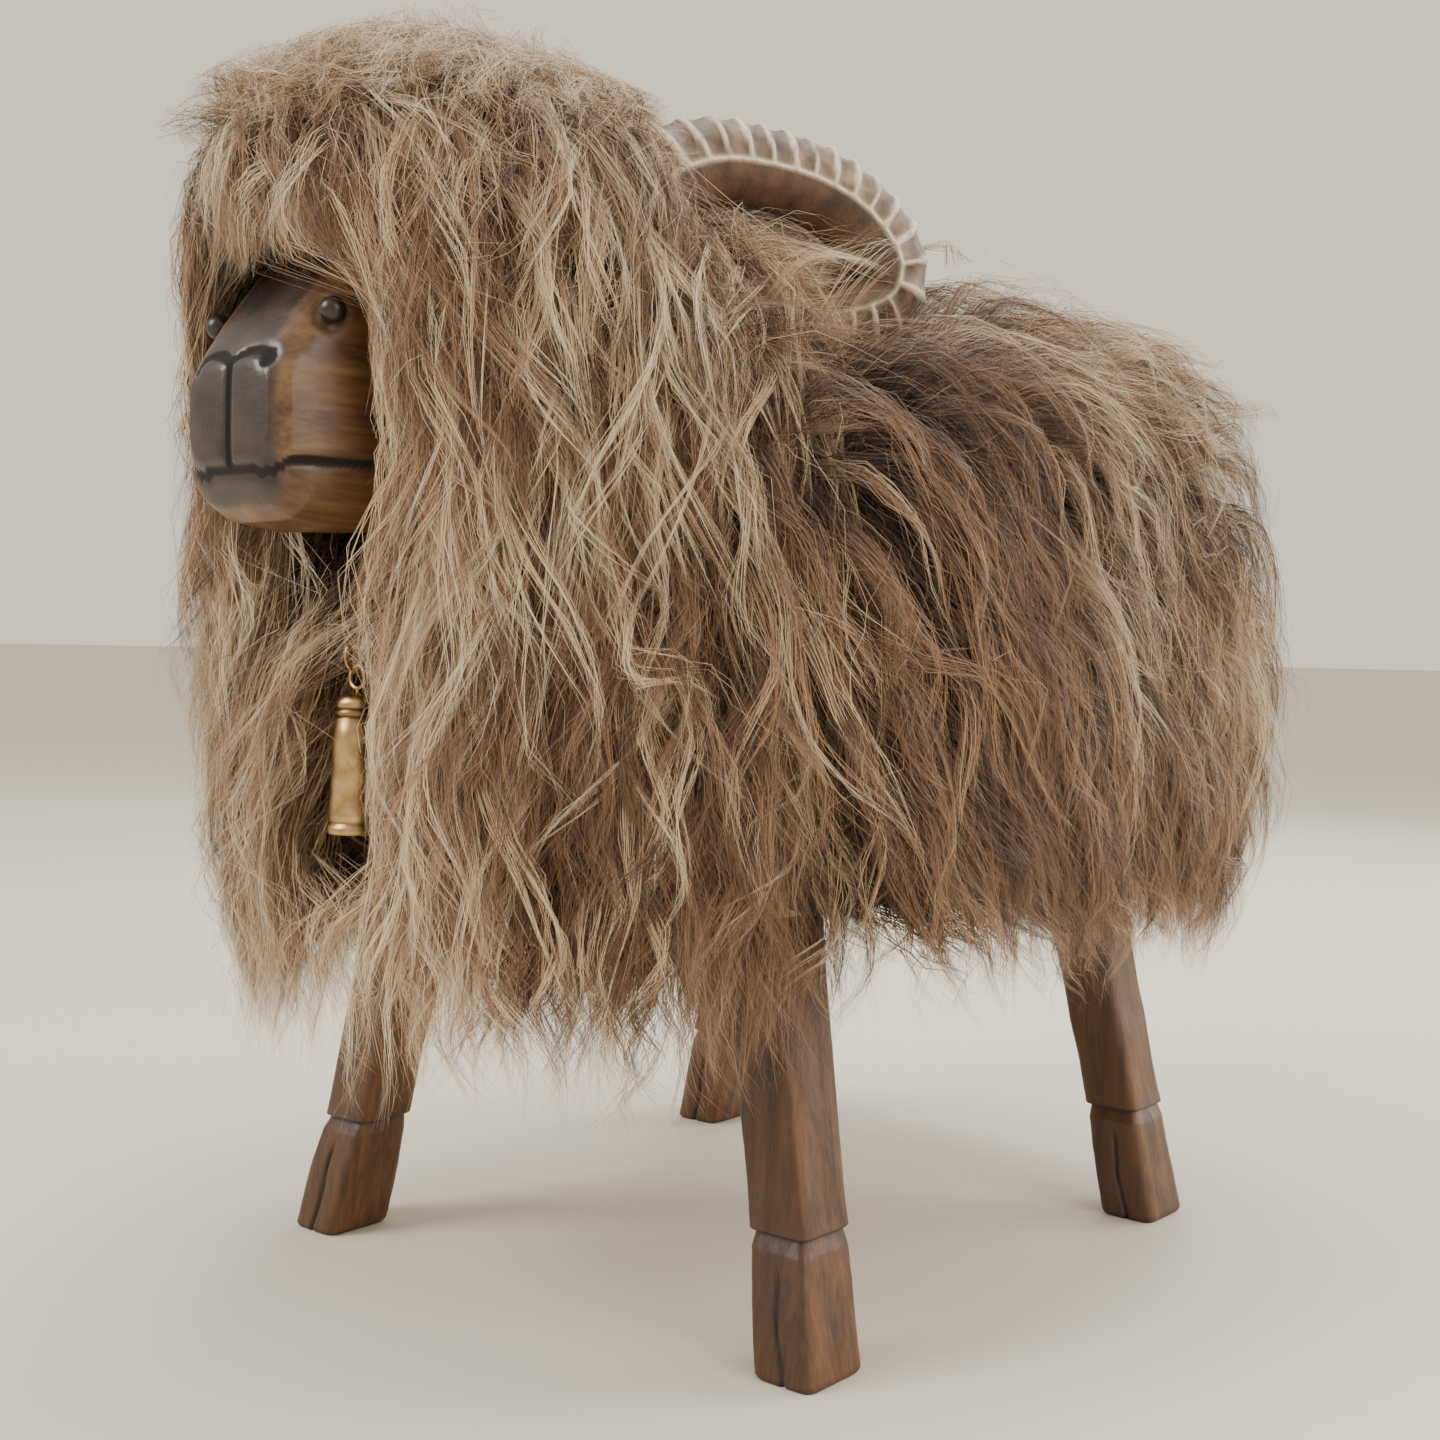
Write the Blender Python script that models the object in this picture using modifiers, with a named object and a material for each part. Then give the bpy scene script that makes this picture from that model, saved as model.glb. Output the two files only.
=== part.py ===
"""Ram footstool: a wooden stool frame on four splayed, hoof-carved legs, padded and covered in
long-haired sheepskin, with a carved head, two curled ridged horns and a small brass bell that
hangs under the throat.

Metres, +Z up. The animal looks along -Y and its left side is +X. The origin is on the ground,
under the middle of the whole object's box.
"""

import math

import bmesh
import bpy
from mathutils import Matrix, Vector

# ---- driving dimensions ----
GAP = 0.0003                  # air kept between touching pieces
STANCE_Y = 0.035              # middle of the four feet, from the origin
FOOT_X = 0.130                # foot centre, sideways
FOOT_Y = 0.131                # foot centre, fore and aft from the stance's middle
SPLAY_X = 0.200               # sideways lean of a leg, per metre of height
SPLAY_Y = 0.078               # fore-and-aft lean of a leg
HOOF_HEIGHT = 0.050
TENON_RADIUS = 0.009

BASE_BOTTOM = 0.165           # underside of the base board
BASE_TOP = 0.187
BASE_HALF_X = 0.125
BASE_Y = (-0.115, 0.185)
BOX_HALF_X = 0.113            # outer face of the frame's side boards
BOX_Y = (-0.103, 0.173)
WALL = 0.015
WALL_TOP = 0.285
SEAT_TOP = 0.303

NECK_HALF_X = 0.030
NECK_Y = (-0.1433, -0.1033)
NECK_Z = (0.190, 0.400)
NECK_DOWEL_Z = (0.215, 0.262)
DOWEL_RADIUS = 0.004
HEAD_PIN = Vector((0.0, -0.1233, 0.385))
HEAD_PIN_HALF = 0.040
HEAD_POWER = 3.2              # how square the carved head is, seen from the front
THROAT_BACK = NECK_Y[0] + 0.010

EYE_RADIUS = 0.0045
EYE_AT = Vector((0.0306, -0.2370, 0.3665))
EYE_SHANK_RADIUS = 0.0010
EYE_SHANK = 0.010

HORN_CENTRE = Vector((0.074, -0.049, 0.410))
HORN_TURN = math.radians(25)  # the curl's plane, turned outward from straight back
SEAT_GAP = 0.0008             # the same where a horn is scribed to the head
HORN_DEPTH = 0.82             # half thickness across the curl, to its half width
HORN_POWER = 1.7
HORN_BEND = (0.030, -0.003)   # inside the curl's tightest turn, in the horn's own plane
HORN_BEND_ROOM = 0.013
HORN_DOWEL_START = Vector((0.020, -0.1290, 0.4130))
HORN_DOWEL_END = (-0.056, 0.0245)   # in the horn's own plane

COLLAR_CENTRE = Vector((0.0, -0.1375, 0.3005))
COLLAR_TILT = math.radians(38)
COLLAR_HALF_X = 0.062
COLLAR_HALF_Y = 0.0670
COLLAR_THICK = 0.0024
COLLAR_WIDE = 0.012
COLLAR_STEPS = 40
PLATE_THICK = 0.0014

BELL_Y = -0.1995              # the bell hangs in this plane
BAR_Z = 0.2570                # the collar loop's cross bar, on which the ring hangs
BAR_RADIUS = 0.0010
RING_RADIUS = 0.0055
RING_WIRE = 0.0009
EYE_LOOP_RADIUS = 0.0040
EYE_LOOP_WIRE = 0.0009
BELL_LENGTH = 0.050
BELL_TOP_RADIUS = 0.0075
BELL_MOUTH_RADIUS = 0.0105
BELL_WALL = 0.0012
SMALL_EYE_RADIUS = 0.0022     # the eye inside the bell, for its clapper
SMALL_EYE_WIRE = 0.0006
CLAPPER_EYE_RADIUS = 0.0020
CLAPPER_BALL = 0.0026
CLAPPER_LIFT = 0.0050         # the ball's centre above the bell's mouth

FLEECE_SPLIT = Vector((0.0, -0.125, 0.285))   # a point where the mane meets the body fleece
FLEECE_SPLIT_TILT = math.radians(-19)         # the two meet on a plane that leans back
SKIRT_CLEAR_X = 0.130         # room kept round the legs, under the base board
SKIRT_CLEAR_Y = (-0.125, 0.189)
CORE_GAP = 0.0008             # between the padding and the hide over it
WOOL_GAP = 0.0010             # between the wool and the carved wood that comes through it
BODY_POWER = 3.6              # how square the fleece, the mane and the padding are, seen from above
MANE_POWER = 2.1
PADDING_POWER = 7.0

# fleece outlines: height, half width, front, back
BODY_FLEECE = (
    (0.128, 0.164, -0.16, 0.226),
    (0.150, 0.175, -0.17, 0.240),
    (0.190, 0.185, -0.18, 0.254),
    (0.255, 0.190, -0.18, 0.2644),
    (0.320, 0.187, -0.18, 0.260),
    (0.362, 0.178, -0.17, 0.250),
    (0.392, 0.158, -0.16, 0.230),
    (0.410, 0.128, -0.14, 0.195),
    (0.420, 0.085, -0.11, 0.145),
)
MANE_FLEECE = (
    (0.118, 0.118, -0.206, 0.06),
    (0.138, 0.134, -0.218, 0.06),
    (0.185, 0.147, -0.232, 0.06),
    (0.255, 0.153, -0.240, 0.06),
    (0.320, 0.151, -0.242, 0.06),
    (0.365, 0.138, -0.254, 0.05),
    (0.402, 0.116, -0.265, 0.03),
    (0.440, 0.088, -0.246, 0.00),
    (0.463, 0.058, -0.210, -0.04),
    (0.474, 0.030, -0.185, -0.09),
)
PADDING = (
    (BASE_TOP + GAP, 0.1330, -0.1230, 0.1930),
    (0.2150, 0.1430, -0.1330, 0.2030),
    (0.2900, 0.1450, -0.1330, 0.2050),
    (0.3250, 0.1360, -0.1240, 0.1950),
    (0.3480, 0.1120, -0.1000, 0.1700),
    (0.3580, 0.0700, -0.0600, 0.1300),
)
# the carved head, front to back: y, underside, top, half width
HEAD = (
    (-0.2550, 0.3170, 0.3500, 0.0215),
    (-0.2500, 0.3030, 0.3575, 0.0265),
    (-0.2420, 0.2980, 0.3690, 0.0290),
    (-0.2250, 0.2960, 0.3900, 0.0325),
    (-0.2000, 0.2970, 0.4120, 0.0370),
    (-0.1700, 0.3050, 0.4300, 0.0420),
    (-0.1450, 0.3300, 0.4400, 0.0450),
    (-0.1200, 0.3620, 0.4440, 0.0450),
    (-0.1000, 0.3680, 0.4400, 0.0420),
    (-0.0940, 0.3750, 0.4300, 0.0360),
)
# a leg, ground to shoulder: height, half width, half length, how far the section leads forward
LEG = (
    (0.000, 0.0130, 0.0165, 0.0025),
    (0.003, 0.0136, 0.0172, 0.0025),
    (0.030, 0.0132, 0.0160, 0.0015),
    (HOOF_HEIGHT - 0.004, 0.0128, 0.0148, 0.0005),
    (HOOF_HEIGHT - 0.001, 0.0116, 0.0134, 0.0000),
    (HOOF_HEIGHT + 0.001, 0.0134, 0.0152, 0.0000),
    (HOOF_HEIGHT + 0.010, 0.0132, 0.0150, 0.0000),
    (0.120, 0.0136, 0.0154, 0.0000),
    (BASE_BOTTOM - GAP, 0.0140, 0.0158, 0.0000),
)
# the horn's middle line in its own plane (along, up) and its half width, root to tip
HORN_PATH = (
    (-0.080, 0.004, 0.0180),
    (-0.062, 0.022, 0.0180),
    (-0.038, 0.033, 0.0175),
    (-0.013, 0.034, 0.0165),
    (0.010, 0.030, 0.0170),
    (0.030, 0.020, 0.0180),
    (0.043, 0.004, 0.0190),
    (0.042, -0.010, 0.0165),
    (0.032, -0.017, 0.0130),
    (0.020, -0.020, 0.0100),
    (0.010, -0.022, 0.0080),
)
LEGS = (
    ("front_left", 1, -1),
    ("front_right", -1, -1),
    ("rear_left", 1, 1),
    ("rear_right", -1, 1),
)
SIDES = (("left", 1), ("right", -1))

WEDGE_DEPTH = 0.014           # how far a wedge goes down into its tenon
WEDGE_HALF_LENGTH = 0.0062
LEG_POWER = 7
SCREW_X = 0.1055
TOP_SCREW_Y = (-0.055, 0.125)
BASE_SCREW_Y = (-0.030, 0.100)
TACK_Y = (-0.030, 0.035, 0.100)
TACK_X = 0.1185
TACK_PIN_RADIUS = 0.0008
TACK_PIN = 0.0095
SCREW_SIDES = 10


# ---- helpers ----
def clear_scene():
    for thing in list(bpy.data.objects):
        bpy.data.objects.remove(thing, do_unlink=True)


def new_collection(name):
    collection = bpy.data.collections.new(name)
    bpy.context.scene.collection.children.link(collection)
    return collection


clear_scene()
PARTS = new_collection("ram_footstool")
CUTTERS = new_collection("cutters")
ROOT = bpy.data.objects.new("ram_footstool_origin", None)
PARTS.objects.link(ROOT)


def material(name, colour, roughness, metallic=0.0):
    made = bpy.data.materials.new(name)
    made.use_nodes = True
    shader = made.node_tree.nodes["Principled BSDF"]
    shader.inputs["Base Color"].default_value = (*colour, 1.0)
    shader.inputs["Roughness"].default_value = roughness
    shader.inputs["Metallic"].default_value = metallic
    return made


STAINED_WOOD = material("stained_wood", (0.24, 0.085, 0.028), 0.45)
HEAD_WOOD = material("head_wood", (0.20, 0.09, 0.035), 0.35)
HORN_WOOD = material("horn_wood", (0.30, 0.17, 0.09), 0.6)
FRAME_WOOD = material("frame_wood", (0.62, 0.43, 0.24), 0.7)
PADDING_CLOTH = material("padding_cloth", (0.78, 0.72, 0.60), 0.9)
LEATHER = material("leather", (0.16, 0.08, 0.04), 0.6)
FLEECE = material("fleece", (0.34, 0.21, 0.11), 0.85)
BRASS = material("brass", (0.68, 0.48, 0.17), 0.3, 1.0)
STEEL = material("steel", (0.55, 0.55, 0.56), 0.35, 1.0)
EYE_GLASS = material("eye_glass", (0.015, 0.010, 0.008), 0.08)


def place(name, mesh, surface, location=(0.0, 0.0, 0.0)):
    """A named piece of the object, its mesh given about its own origin."""
    piece = bpy.data.objects.new(name, mesh)
    piece.location = location
    piece.parent = ROOT
    mesh.materials.append(surface)
    PARTS.objects.link(piece)
    return piece


def cutter(name, mesh, location=(0.0, 0.0, 0.0)):
    tool = bpy.data.objects.new("cut_" + name, mesh)
    tool.location = location
    tool.hide_render = True
    tool.display_type = "WIRE"
    CUTTERS.objects.link(tool)
    return tool


def carve(piece, tool, operation="DIFFERENCE"):
    boolean = piece.modifiers.new(tool.name, "BOOLEAN")
    boolean.operation = operation
    boolean.object = tool
    boolean.solver = "EXACT"


def box_mesh(name, low, high):
    """A box from its two corners, with its mesh about the world's origin."""
    low, high = Vector(low), Vector(high)
    mesh = bpy.data.meshes.new(name)
    work = bmesh.new()
    bmesh.ops.create_cube(work, size=1.0)
    bmesh.ops.scale(work, vec=high - low, verts=work.verts)
    bmesh.ops.translate(work, vec=(high + low) / 2, verts=work.verts)
    work.to_mesh(mesh)
    work.free()
    return mesh


def board(name, low, high, surface=FRAME_WOOD):
    middle = (Vector(low) + Vector(high)) / 2
    return place(name, box_mesh(name, Vector(low) - middle, Vector(high) - middle), surface, middle)


def loft_mesh(name, rings):
    """A closed skin over rings of equal length, with flat ends."""
    mesh = bpy.data.meshes.new(name)
    work = bmesh.new()
    made = [[work.verts.new(point) for point in ring] for ring in rings]
    count = len(made[0])
    for lower, upper in zip(made, made[1:]):
        for i in range(count):
            j = (i + 1) % count
            work.faces.new((lower[i], lower[j], upper[j], upper[i]))
    work.faces.new(list(reversed(made[0])))
    work.faces.new(made[-1])
    bmesh.ops.recalc_face_normals(work, faces=work.faces)
    work.to_mesh(mesh)
    work.free()
    return mesh


def rounded(half_a, half_b, power, count):
    """Points round a superellipse: power 2 is an ellipse, and a high power is near a rectangle."""
    points = []
    for i in range(count):
        angle = 2 * math.pi * (i + 0.5) / count
        c, s = math.cos(angle), math.sin(angle)
        radius = (abs(c) ** power + abs(s) ** power) ** (-1 / power)
        points.append((half_a * radius * c, half_b * radius * s))
    return points


def level_rings(levels, grow=0.0, power=3.0, count=32):
    """Horizontal rings from (height, half width, front, back)."""
    rings = []
    for height, half_x, front, back in levels:
        middle = (front + back) / 2
        half_y = (back - front) / 2 + grow
        outline = rounded(half_x + grow, half_y, power, count)
        rings.append([Vector((a, middle + b, height)) for a, b in outline])
    return rings


def turned_mesh(name, profile, closed=False):
    """A profile of (radius, height) turned about Z. It runs down its outer side."""
    mesh = bpy.data.meshes.new(name)
    work = bmesh.new()
    corners = [work.verts.new((radius, 0.0, height)) for radius, height in profile]
    for first, second in zip(corners, corners[1:]):
        work.edges.new((first, second))
    if closed:
        work.edges.new((corners[-1], corners[0]))
    work.to_mesh(mesh)
    work.free()
    return mesh


def add_turning(thing, steps=24):
    screw = thing.modifiers.new("turn", "SCREW")
    screw.steps = steps
    screw.render_steps = steps
    screw.use_merge_vertices = True
    screw.merge_threshold = 0.00001
    thing.data.shade_smooth()


def turned(name, profile, surface, location, steps=24, closed=False):
    piece = place(name, turned_mesh(name, profile, closed=closed), surface, location)
    add_turning(piece, steps)
    return piece


def ball_mesh(name, radius, around=12, up=8):
    mesh = bpy.data.meshes.new(name)
    work = bmesh.new()
    bmesh.ops.create_uvsphere(work, u_segments=around, v_segments=up, radius=radius)
    work.to_mesh(mesh)
    work.free()
    mesh.shade_smooth()
    return mesh


def rod_mesh(name, start, end, radius, sides=12):
    """A straight round rod between two points, as a primitive cylinder."""
    start, end = Vector(start), Vector(end)
    along = end - start
    mesh = bpy.data.meshes.new(name)
    work = bmesh.new()
    bmesh.ops.create_cone(
        work, cap_ends=True, segments=sides, radius1=radius, radius2=radius, depth=along.length
    )
    turn = along.to_track_quat("Z", "Y").to_matrix().to_4x4()
    bmesh.ops.transform(
        work, matrix=Matrix.Translation((start + end) / 2) @ turn, verts=work.verts
    )
    work.to_mesh(mesh)
    work.free()
    return mesh


def torus_mesh(name, major, minor, turn, shift=(0.0, 0.0, 0.0), around=24, across=8):
    """A wire ring whose axis is Z turned by the matrix."""
    bpy.ops.mesh.primitive_torus_add(
        major_radius=major, minor_radius=minor, major_segments=around, minor_segments=across
    )
    made = bpy.context.object
    mesh = made.data
    bpy.data.objects.remove(made, do_unlink=True)
    mesh.name = name
    mesh.transform(Matrix.Translation(shift) @ turn.to_4x4())
    mesh.shade_smooth()
    return mesh


def wire_mesh(name, points, radius):
    """A bent wire through points, as a capped tube made into a mesh."""
    curve = bpy.data.curves.new(name, "CURVE")
    curve.dimensions = "3D"
    curve.bevel_depth = radius
    curve.bevel_resolution = 2
    curve.use_fill_caps = True
    spline = curve.splines.new("POLY")
    spline.points.add(len(points) - 1)
    for slot, point in zip(spline.points, points):
        slot.co = (*point, 1.0)
    holder = bpy.data.objects.new(name, curve)
    CUTTERS.objects.link(holder)
    bpy.context.view_layer.update()
    evaluated = holder.evaluated_get(bpy.context.evaluated_depsgraph_get())
    mesh = bpy.data.meshes.new_from_object(evaluated)
    bpy.data.objects.remove(holder, do_unlink=True)
    work = bmesh.new()
    work.from_mesh(mesh)
    bmesh.ops.remove_doubles(work, verts=work.verts, dist=0.00001)
    work.to_mesh(mesh)
    work.free()
    return mesh


# ---- frame ----
def leg_centre(side, end, height):
    """Where a leg's middle line is at a height, from its own foot."""
    return Vector((-side * SPLAY_X * height, -end * SPLAY_Y * height, height))


def leg_foot(side, end):
    return Vector((side * FOOT_X, STANCE_Y + end * FOOT_Y, 0.0))


def column(side, end, low, high, half_x, half_y, power, count=16):
    """Two rings of a column that leans with the leg."""
    rings = []
    for height in (low, high):
        centre = leg_centre(side, end, height)
        outline = rounded(half_x, half_y, power, count)
        rings.append([centre + Vector((a, b, 0)) for a, b in outline])
    return rings


def make_leg(name, side, end):
    foot = leg_foot(side, end)
    rings = []
    for height, half_x, half_y, lead in LEG:
        centre = leg_centre(side, end, height) + Vector((0, -lead, 0))
        outline = rounded(half_x, half_y, LEG_POWER, 16)
        rings.append([centre + Vector((a, b, 0)) for a, b in outline])
    rings += column(side, end, BASE_BOTTOM - GAP, BASE_TOP, TENON_RADIUS, TENON_RADIUS, 2)
    leg = place("leg_" + name, loft_mesh(name, rings), STAINED_WOOD, foot)
    wedge_low, wedge_high = BASE_TOP - WEDGE_DEPTH, BASE_TOP - GAP
    slot = wedge_rings(side, end, wedge_low - GAP, BASE_TOP + 0.002, GAP)
    carve(leg, cutter("slot_" + name, loft_mesh("slot_" + name, slot), foot))
    wedge = wedge_rings(side, end, wedge_low, wedge_high, 0.0)
    place("leg_wedge_" + name, loft_mesh("wedge_" + name, wedge), FRAME_WOOD, foot)


def wedge_rings(side, end, low, high, grow):
    """A thin plate that widens upward, in the top of a leg's tenon."""
    rings = []
    for height in (low, high):
        rise = (height - BASE_TOP) / WEDGE_DEPTH + 1
        half = 0.0005 + 0.0009 * rise + grow
        centre = leg_centre(side, end, height)
        corners = ((-half, -1), (half, -1), (half, 1), (-half, 1))
        length = WEDGE_HALF_LENGTH + grow
        rings.append([centre + Vector((a, b * length, 0)) for a, b in corners])
    return rings


def make_frame():
    low_corner = (-BASE_HALF_X, BASE_Y[0], BASE_BOTTOM)
    base = board("base_board", low_corner, (BASE_HALF_X, BASE_Y[1], BASE_TOP))
    for name, side, end in LEGS:
        make_leg(name, side, end)
        bore = TENON_RADIUS + GAP
        hole = column(side, end, BASE_BOTTOM - 0.01, BASE_TOP + 0.01, bore, bore, 2)
        carve(base, cutter("tenon_" + name, loft_mesh("tenon_" + name, hole), leg_foot(side, end)))
    low, high = BASE_TOP + GAP, WALL_TOP - GAP
    inner = BOX_HALF_X - WALL
    half = inner - GAP
    front = board("front_bulkhead", (-half, BOX_Y[0], low), (half, BOX_Y[0] + WALL, high))
    board("rear_bulkhead", (-half, BOX_Y[1] - WALL, low), (half, BOX_Y[1], high))
    sides = {
        1: board("side_board_left", (inner, BOX_Y[0], low), (BOX_HALF_X, BOX_Y[1], high)),
        -1: board("side_board_right", (-BOX_HALF_X, BOX_Y[0], low), (-inner, BOX_Y[1], high)),
    }
    top = board("top_board", (-BOX_HALF_X, BOX_Y[0], WALL_TOP), (BOX_HALF_X, BOX_Y[1], SEAT_TOP))
    return base, front, sides, top


def screw_profile(grow=0.0):
    """A countersunk wood screw, its head's flat top at height 0."""
    return (
        (0.0, grow),
        (0.0036 + grow, grow),
        (0.0036 + grow, -0.0004),
        (0.0018 + grow, -0.0030),
        (0.0018 + grow, -0.0300),
        (0.0, -0.0340 - 2 * grow),
    )


def make_screws(base, sides, top):
    """Screws down through the seat board and up through the base board, into the side boards."""
    flip = Matrix.Rotation(math.pi, 4, "X")
    for word, piece, height, places, turn in (
        ("top", top, SEAT_TOP - 0.0005, TOP_SCREW_Y, Matrix()),
        ("base", base, BASE_BOTTOM + 0.0005, BASE_SCREW_Y, flip),
    ):
        spots = [(side, y) for side in (-1, 1) for y in places]
        for number, (side, y) in enumerate(spots, 1):
            where = (side * SCREW_X, y, height)
            name = f"{word}_screw_{number}"
            screw = turned(name, screw_profile(), STEEL, where, steps=SCREW_SIDES)
            screw.rotation_euler = turn.to_euler()
            tool = cutter(name, turned_mesh("bore", screw_profile(GAP)), where)
            add_turning(tool, SCREW_SIDES)
            tool.rotation_euler = turn.to_euler()
            carve(piece, tool)
            carve(sides[side], tool)


def make_tacks(base):
    """Dome-headed tacks under the base board, which hold the hide's turned edge."""
    number = 0
    for side in (-1, 1):
        for y in TACK_Y:
            number += 1
            under = (side * TACK_X, y, BASE_BOTTOM - 0.0012)
            profile = (
                (0.0, TACK_PIN),
                (TACK_PIN_RADIUS, TACK_PIN - 0.0015),
                (TACK_PIN_RADIUS, 0.0),
                (0.0045, 0.0),
                (0.0036, -0.0012),
                (0.0, -0.0018),
            )
            turned(f"upholstery_tack_{number}", profile, BRASS, under, steps=SCREW_SIDES)
            bore = rod_mesh("bore", (0, 0, -0.01), (0, 0, TACK_PIN + 0.001), TACK_PIN_RADIUS + GAP, 10)
            carve(base, cutter(f"tack_{number}", bore, under))


# ---- padding, neck and head ----
def neck_recess(name, grow=0.0):
    """Room for the neck and its collar."""
    half_x, front, back = 0.0655 + grow, -0.2035 - grow, -0.0770 + grow
    levels = ((0.244, half_x, front, back), (0.356, half_x, front, back))
    return loft_mesh(name, level_rings(levels, count=24))


def padding_mesh(name, levels, grow=0.0):
    return loft_mesh(name, level_rings(levels, grow, PADDING_POWER))


def make_padding():
    padding = place("body_padding", padding_mesh("body_padding", PADDING), PADDING_CLOTH)
    inside = box_mesh(
        "frame_room",
        (-BOX_HALF_X - GAP, BOX_Y[0] - GAP, 0.10),
        (BOX_HALF_X + GAP, BOX_Y[1] + GAP, SEAT_TOP + GAP),
    )
    carve(padding, cutter("frame_room", inside))
    post = box_mesh(
        "post_room", (-NECK_HALF_X - GAP, -0.20, 0.10), (NECK_HALF_X + GAP, BOX_Y[0] + 0.01, 0.40)
    )
    carve(padding, cutter("post_room", post))
    carve(padding, cutter("collar_room", neck_recess("collar_room")))


def make_neck(front):
    low_corner = (-NECK_HALF_X, NECK_Y[0], NECK_Z[0])
    post = board("neck_post", low_corner, (NECK_HALF_X, NECK_Y[1], NECK_Z[1]))
    for word, height in zip(("lower", "upper"), NECK_DOWEL_Z):
        start = Vector((0, BOX_Y[0] + WALL - GAP, height))
        end = Vector((0, NECK_Y[0] + 0.012, height))
        middle = (start + end) / 2
        mesh = rod_mesh("neck_dowel", start - middle, end - middle, DOWEL_RADIUS)
        place("neck_dowel_" + word, mesh, FRAME_WOOD, middle)
        bore = rod_mesh(
            "bore", (0, 0.05, 0), (0, (end - middle).y - GAP, 0), DOWEL_RADIUS + GAP
        )
        tool = cutter("neck_dowel_" + word, bore, middle)
        carve(front, tool)
        carve(post, tool)
    levels = (
        (0.2455, 0.031, -0.164, THROAT_BACK),
        (0.2530, 0.040, -0.175, THROAT_BACK),
        (0.2760, 0.041, -0.175, THROAT_BACK),
        (0.2830, 0.035, -0.168, THROAT_BACK),
    )
    mesh = loft_mesh("throat_padding", level_rings(levels, count=20))
    pad = place("throat_padding", mesh, PADDING_CLOTH)
    room = box_mesh("throat_room", (-0.08, NECK_Y[0] - GAP, 0.20), (0.08, 0.0, 0.35))
    carve(pad, cutter("throat_room", room))
    return post


def head_mesh(name, grow=0.0):
    rings = []
    for index, (y, low, high, half) in enumerate(HEAD):
        ends = -grow if index == 0 else grow if index == len(HEAD) - 1 else 0.0
        outline = rounded(half + grow, (high - low) / 2 + grow, HEAD_POWER, 20)
        rings.append([Vector((a, y + ends, (low + high) / 2 + b)) for a, b in outline])
    return loft_mesh(name, rings)


def horn_point(side, along, up, out=0.0):
    """A point given in the horn's own plane, with out across it."""
    flat = Vector((math.sin(HORN_TURN), math.cos(HORN_TURN), 0.0))
    across = Vector((math.cos(HORN_TURN), -math.sin(HORN_TURN), 0.0))
    point = HORN_CENTRE + flat * along + across * out + Vector((0, 0, up))
    return Vector((side * point.x, point.y, point.z))


def smooth_path(points, per_span):
    """Catmull-Rom points through a list of tuples."""
    ends = [points[0], *points, points[-1]]
    result = []
    for a, b, c, d in zip(ends, ends[1:], ends[2:], ends[3:]):
        for step in range(per_span):
            t = step / per_span
            result.append(tuple(
                0.5 * (2 * q + (r - p) * t + (2 * p - 5 * q + 4 * r - s) * t * t
                       + (3 * q - p - 3 * r + s) * t ** 3)
                for p, q, r, s in zip(a, b, c, d)
            ))
    result.append(tuple(points[-1]))
    return result


def horn_mesh(name, side, grow=0.0):
    path = smooth_path(HORN_PATH, 3)
    rings = []
    for i, (along, up, half) in enumerate(path):
        before = Vector(path[max(i - 1, 0)][:2])
        after = Vector(path[min(i + 1, len(path) - 1)][:2])
        heading = (after - before).normalized()
        outward = Vector((-heading.y, heading.x))
        end = -grow if i == 0 else grow if i == len(path) - 1 else 0.0
        middle = Vector((along, up)) + heading * end
        ring = []
        for a, b in rounded(half + grow, half * HORN_DEPTH + grow, HORN_POWER, 12):
            flat = middle + outward * a
            ring.append(horn_point(side, flat.x, flat.y, b))
        rings.append(ring)
    return loft_mesh(name, rings)


def make_head(post):
    head = place("head_block", head_mesh("head_block"), HEAD_WOOD)
    mortise = box_mesh(
        "mortise",
        (-NECK_HALF_X - GAP, NECK_Y[0] - GAP, 0.20),
        (NECK_HALF_X + GAP, NECK_Y[1] + GAP, NECK_Z[1] + GAP),
    )
    carve(head, cutter("mortise", mortise))
    pin_mesh = rod_mesh("head_pin", (-HEAD_PIN_HALF, 0, 0), (HEAD_PIN_HALF, 0, 0), DOWEL_RADIUS)
    place("head_pin", pin_mesh, FRAME_WOOD, HEAD_PIN)
    bore_mesh = rod_mesh("pin_bore", (-0.10, 0, 0), (0.10, 0, 0), DOWEL_RADIUS + GAP)
    bore = cutter("head_pin", bore_mesh, HEAD_PIN)
    carve(head, bore)
    carve(post, bore)
    for word, side in SIDES:
        make_eye(word, side, head)
        make_horn(word, side, head)


def make_eye(word, side, head):
    """A glass bead on a pin, set in the side of the head."""
    at = Vector((side * EYE_AT.x, EYE_AT.y, EYE_AT.z))
    eye = place("eye_" + word, ball_mesh("eye", EYE_RADIUS), EYE_GLASS, at)
    shank = rod_mesh("eye_shank", (0, 0, 0), (-side * EYE_SHANK, 0, 0), EYE_SHANK_RADIUS, 8)
    carve(eye, cutter("eye_shank_" + word, shank, at), "UNION")
    carve(head, cutter("eye_socket_" + word, ball_mesh("socket", EYE_RADIUS + 0.0005), at))
    hole_end = (-side * (EYE_SHANK + 0.0005), 0, 0)
    hole = rod_mesh("eye_hole", (0, 0, 0), hole_end, EYE_SHANK_RADIUS + 0.0004, 8)
    carve(head, cutter("eye_hole_" + word, hole, at))


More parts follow.
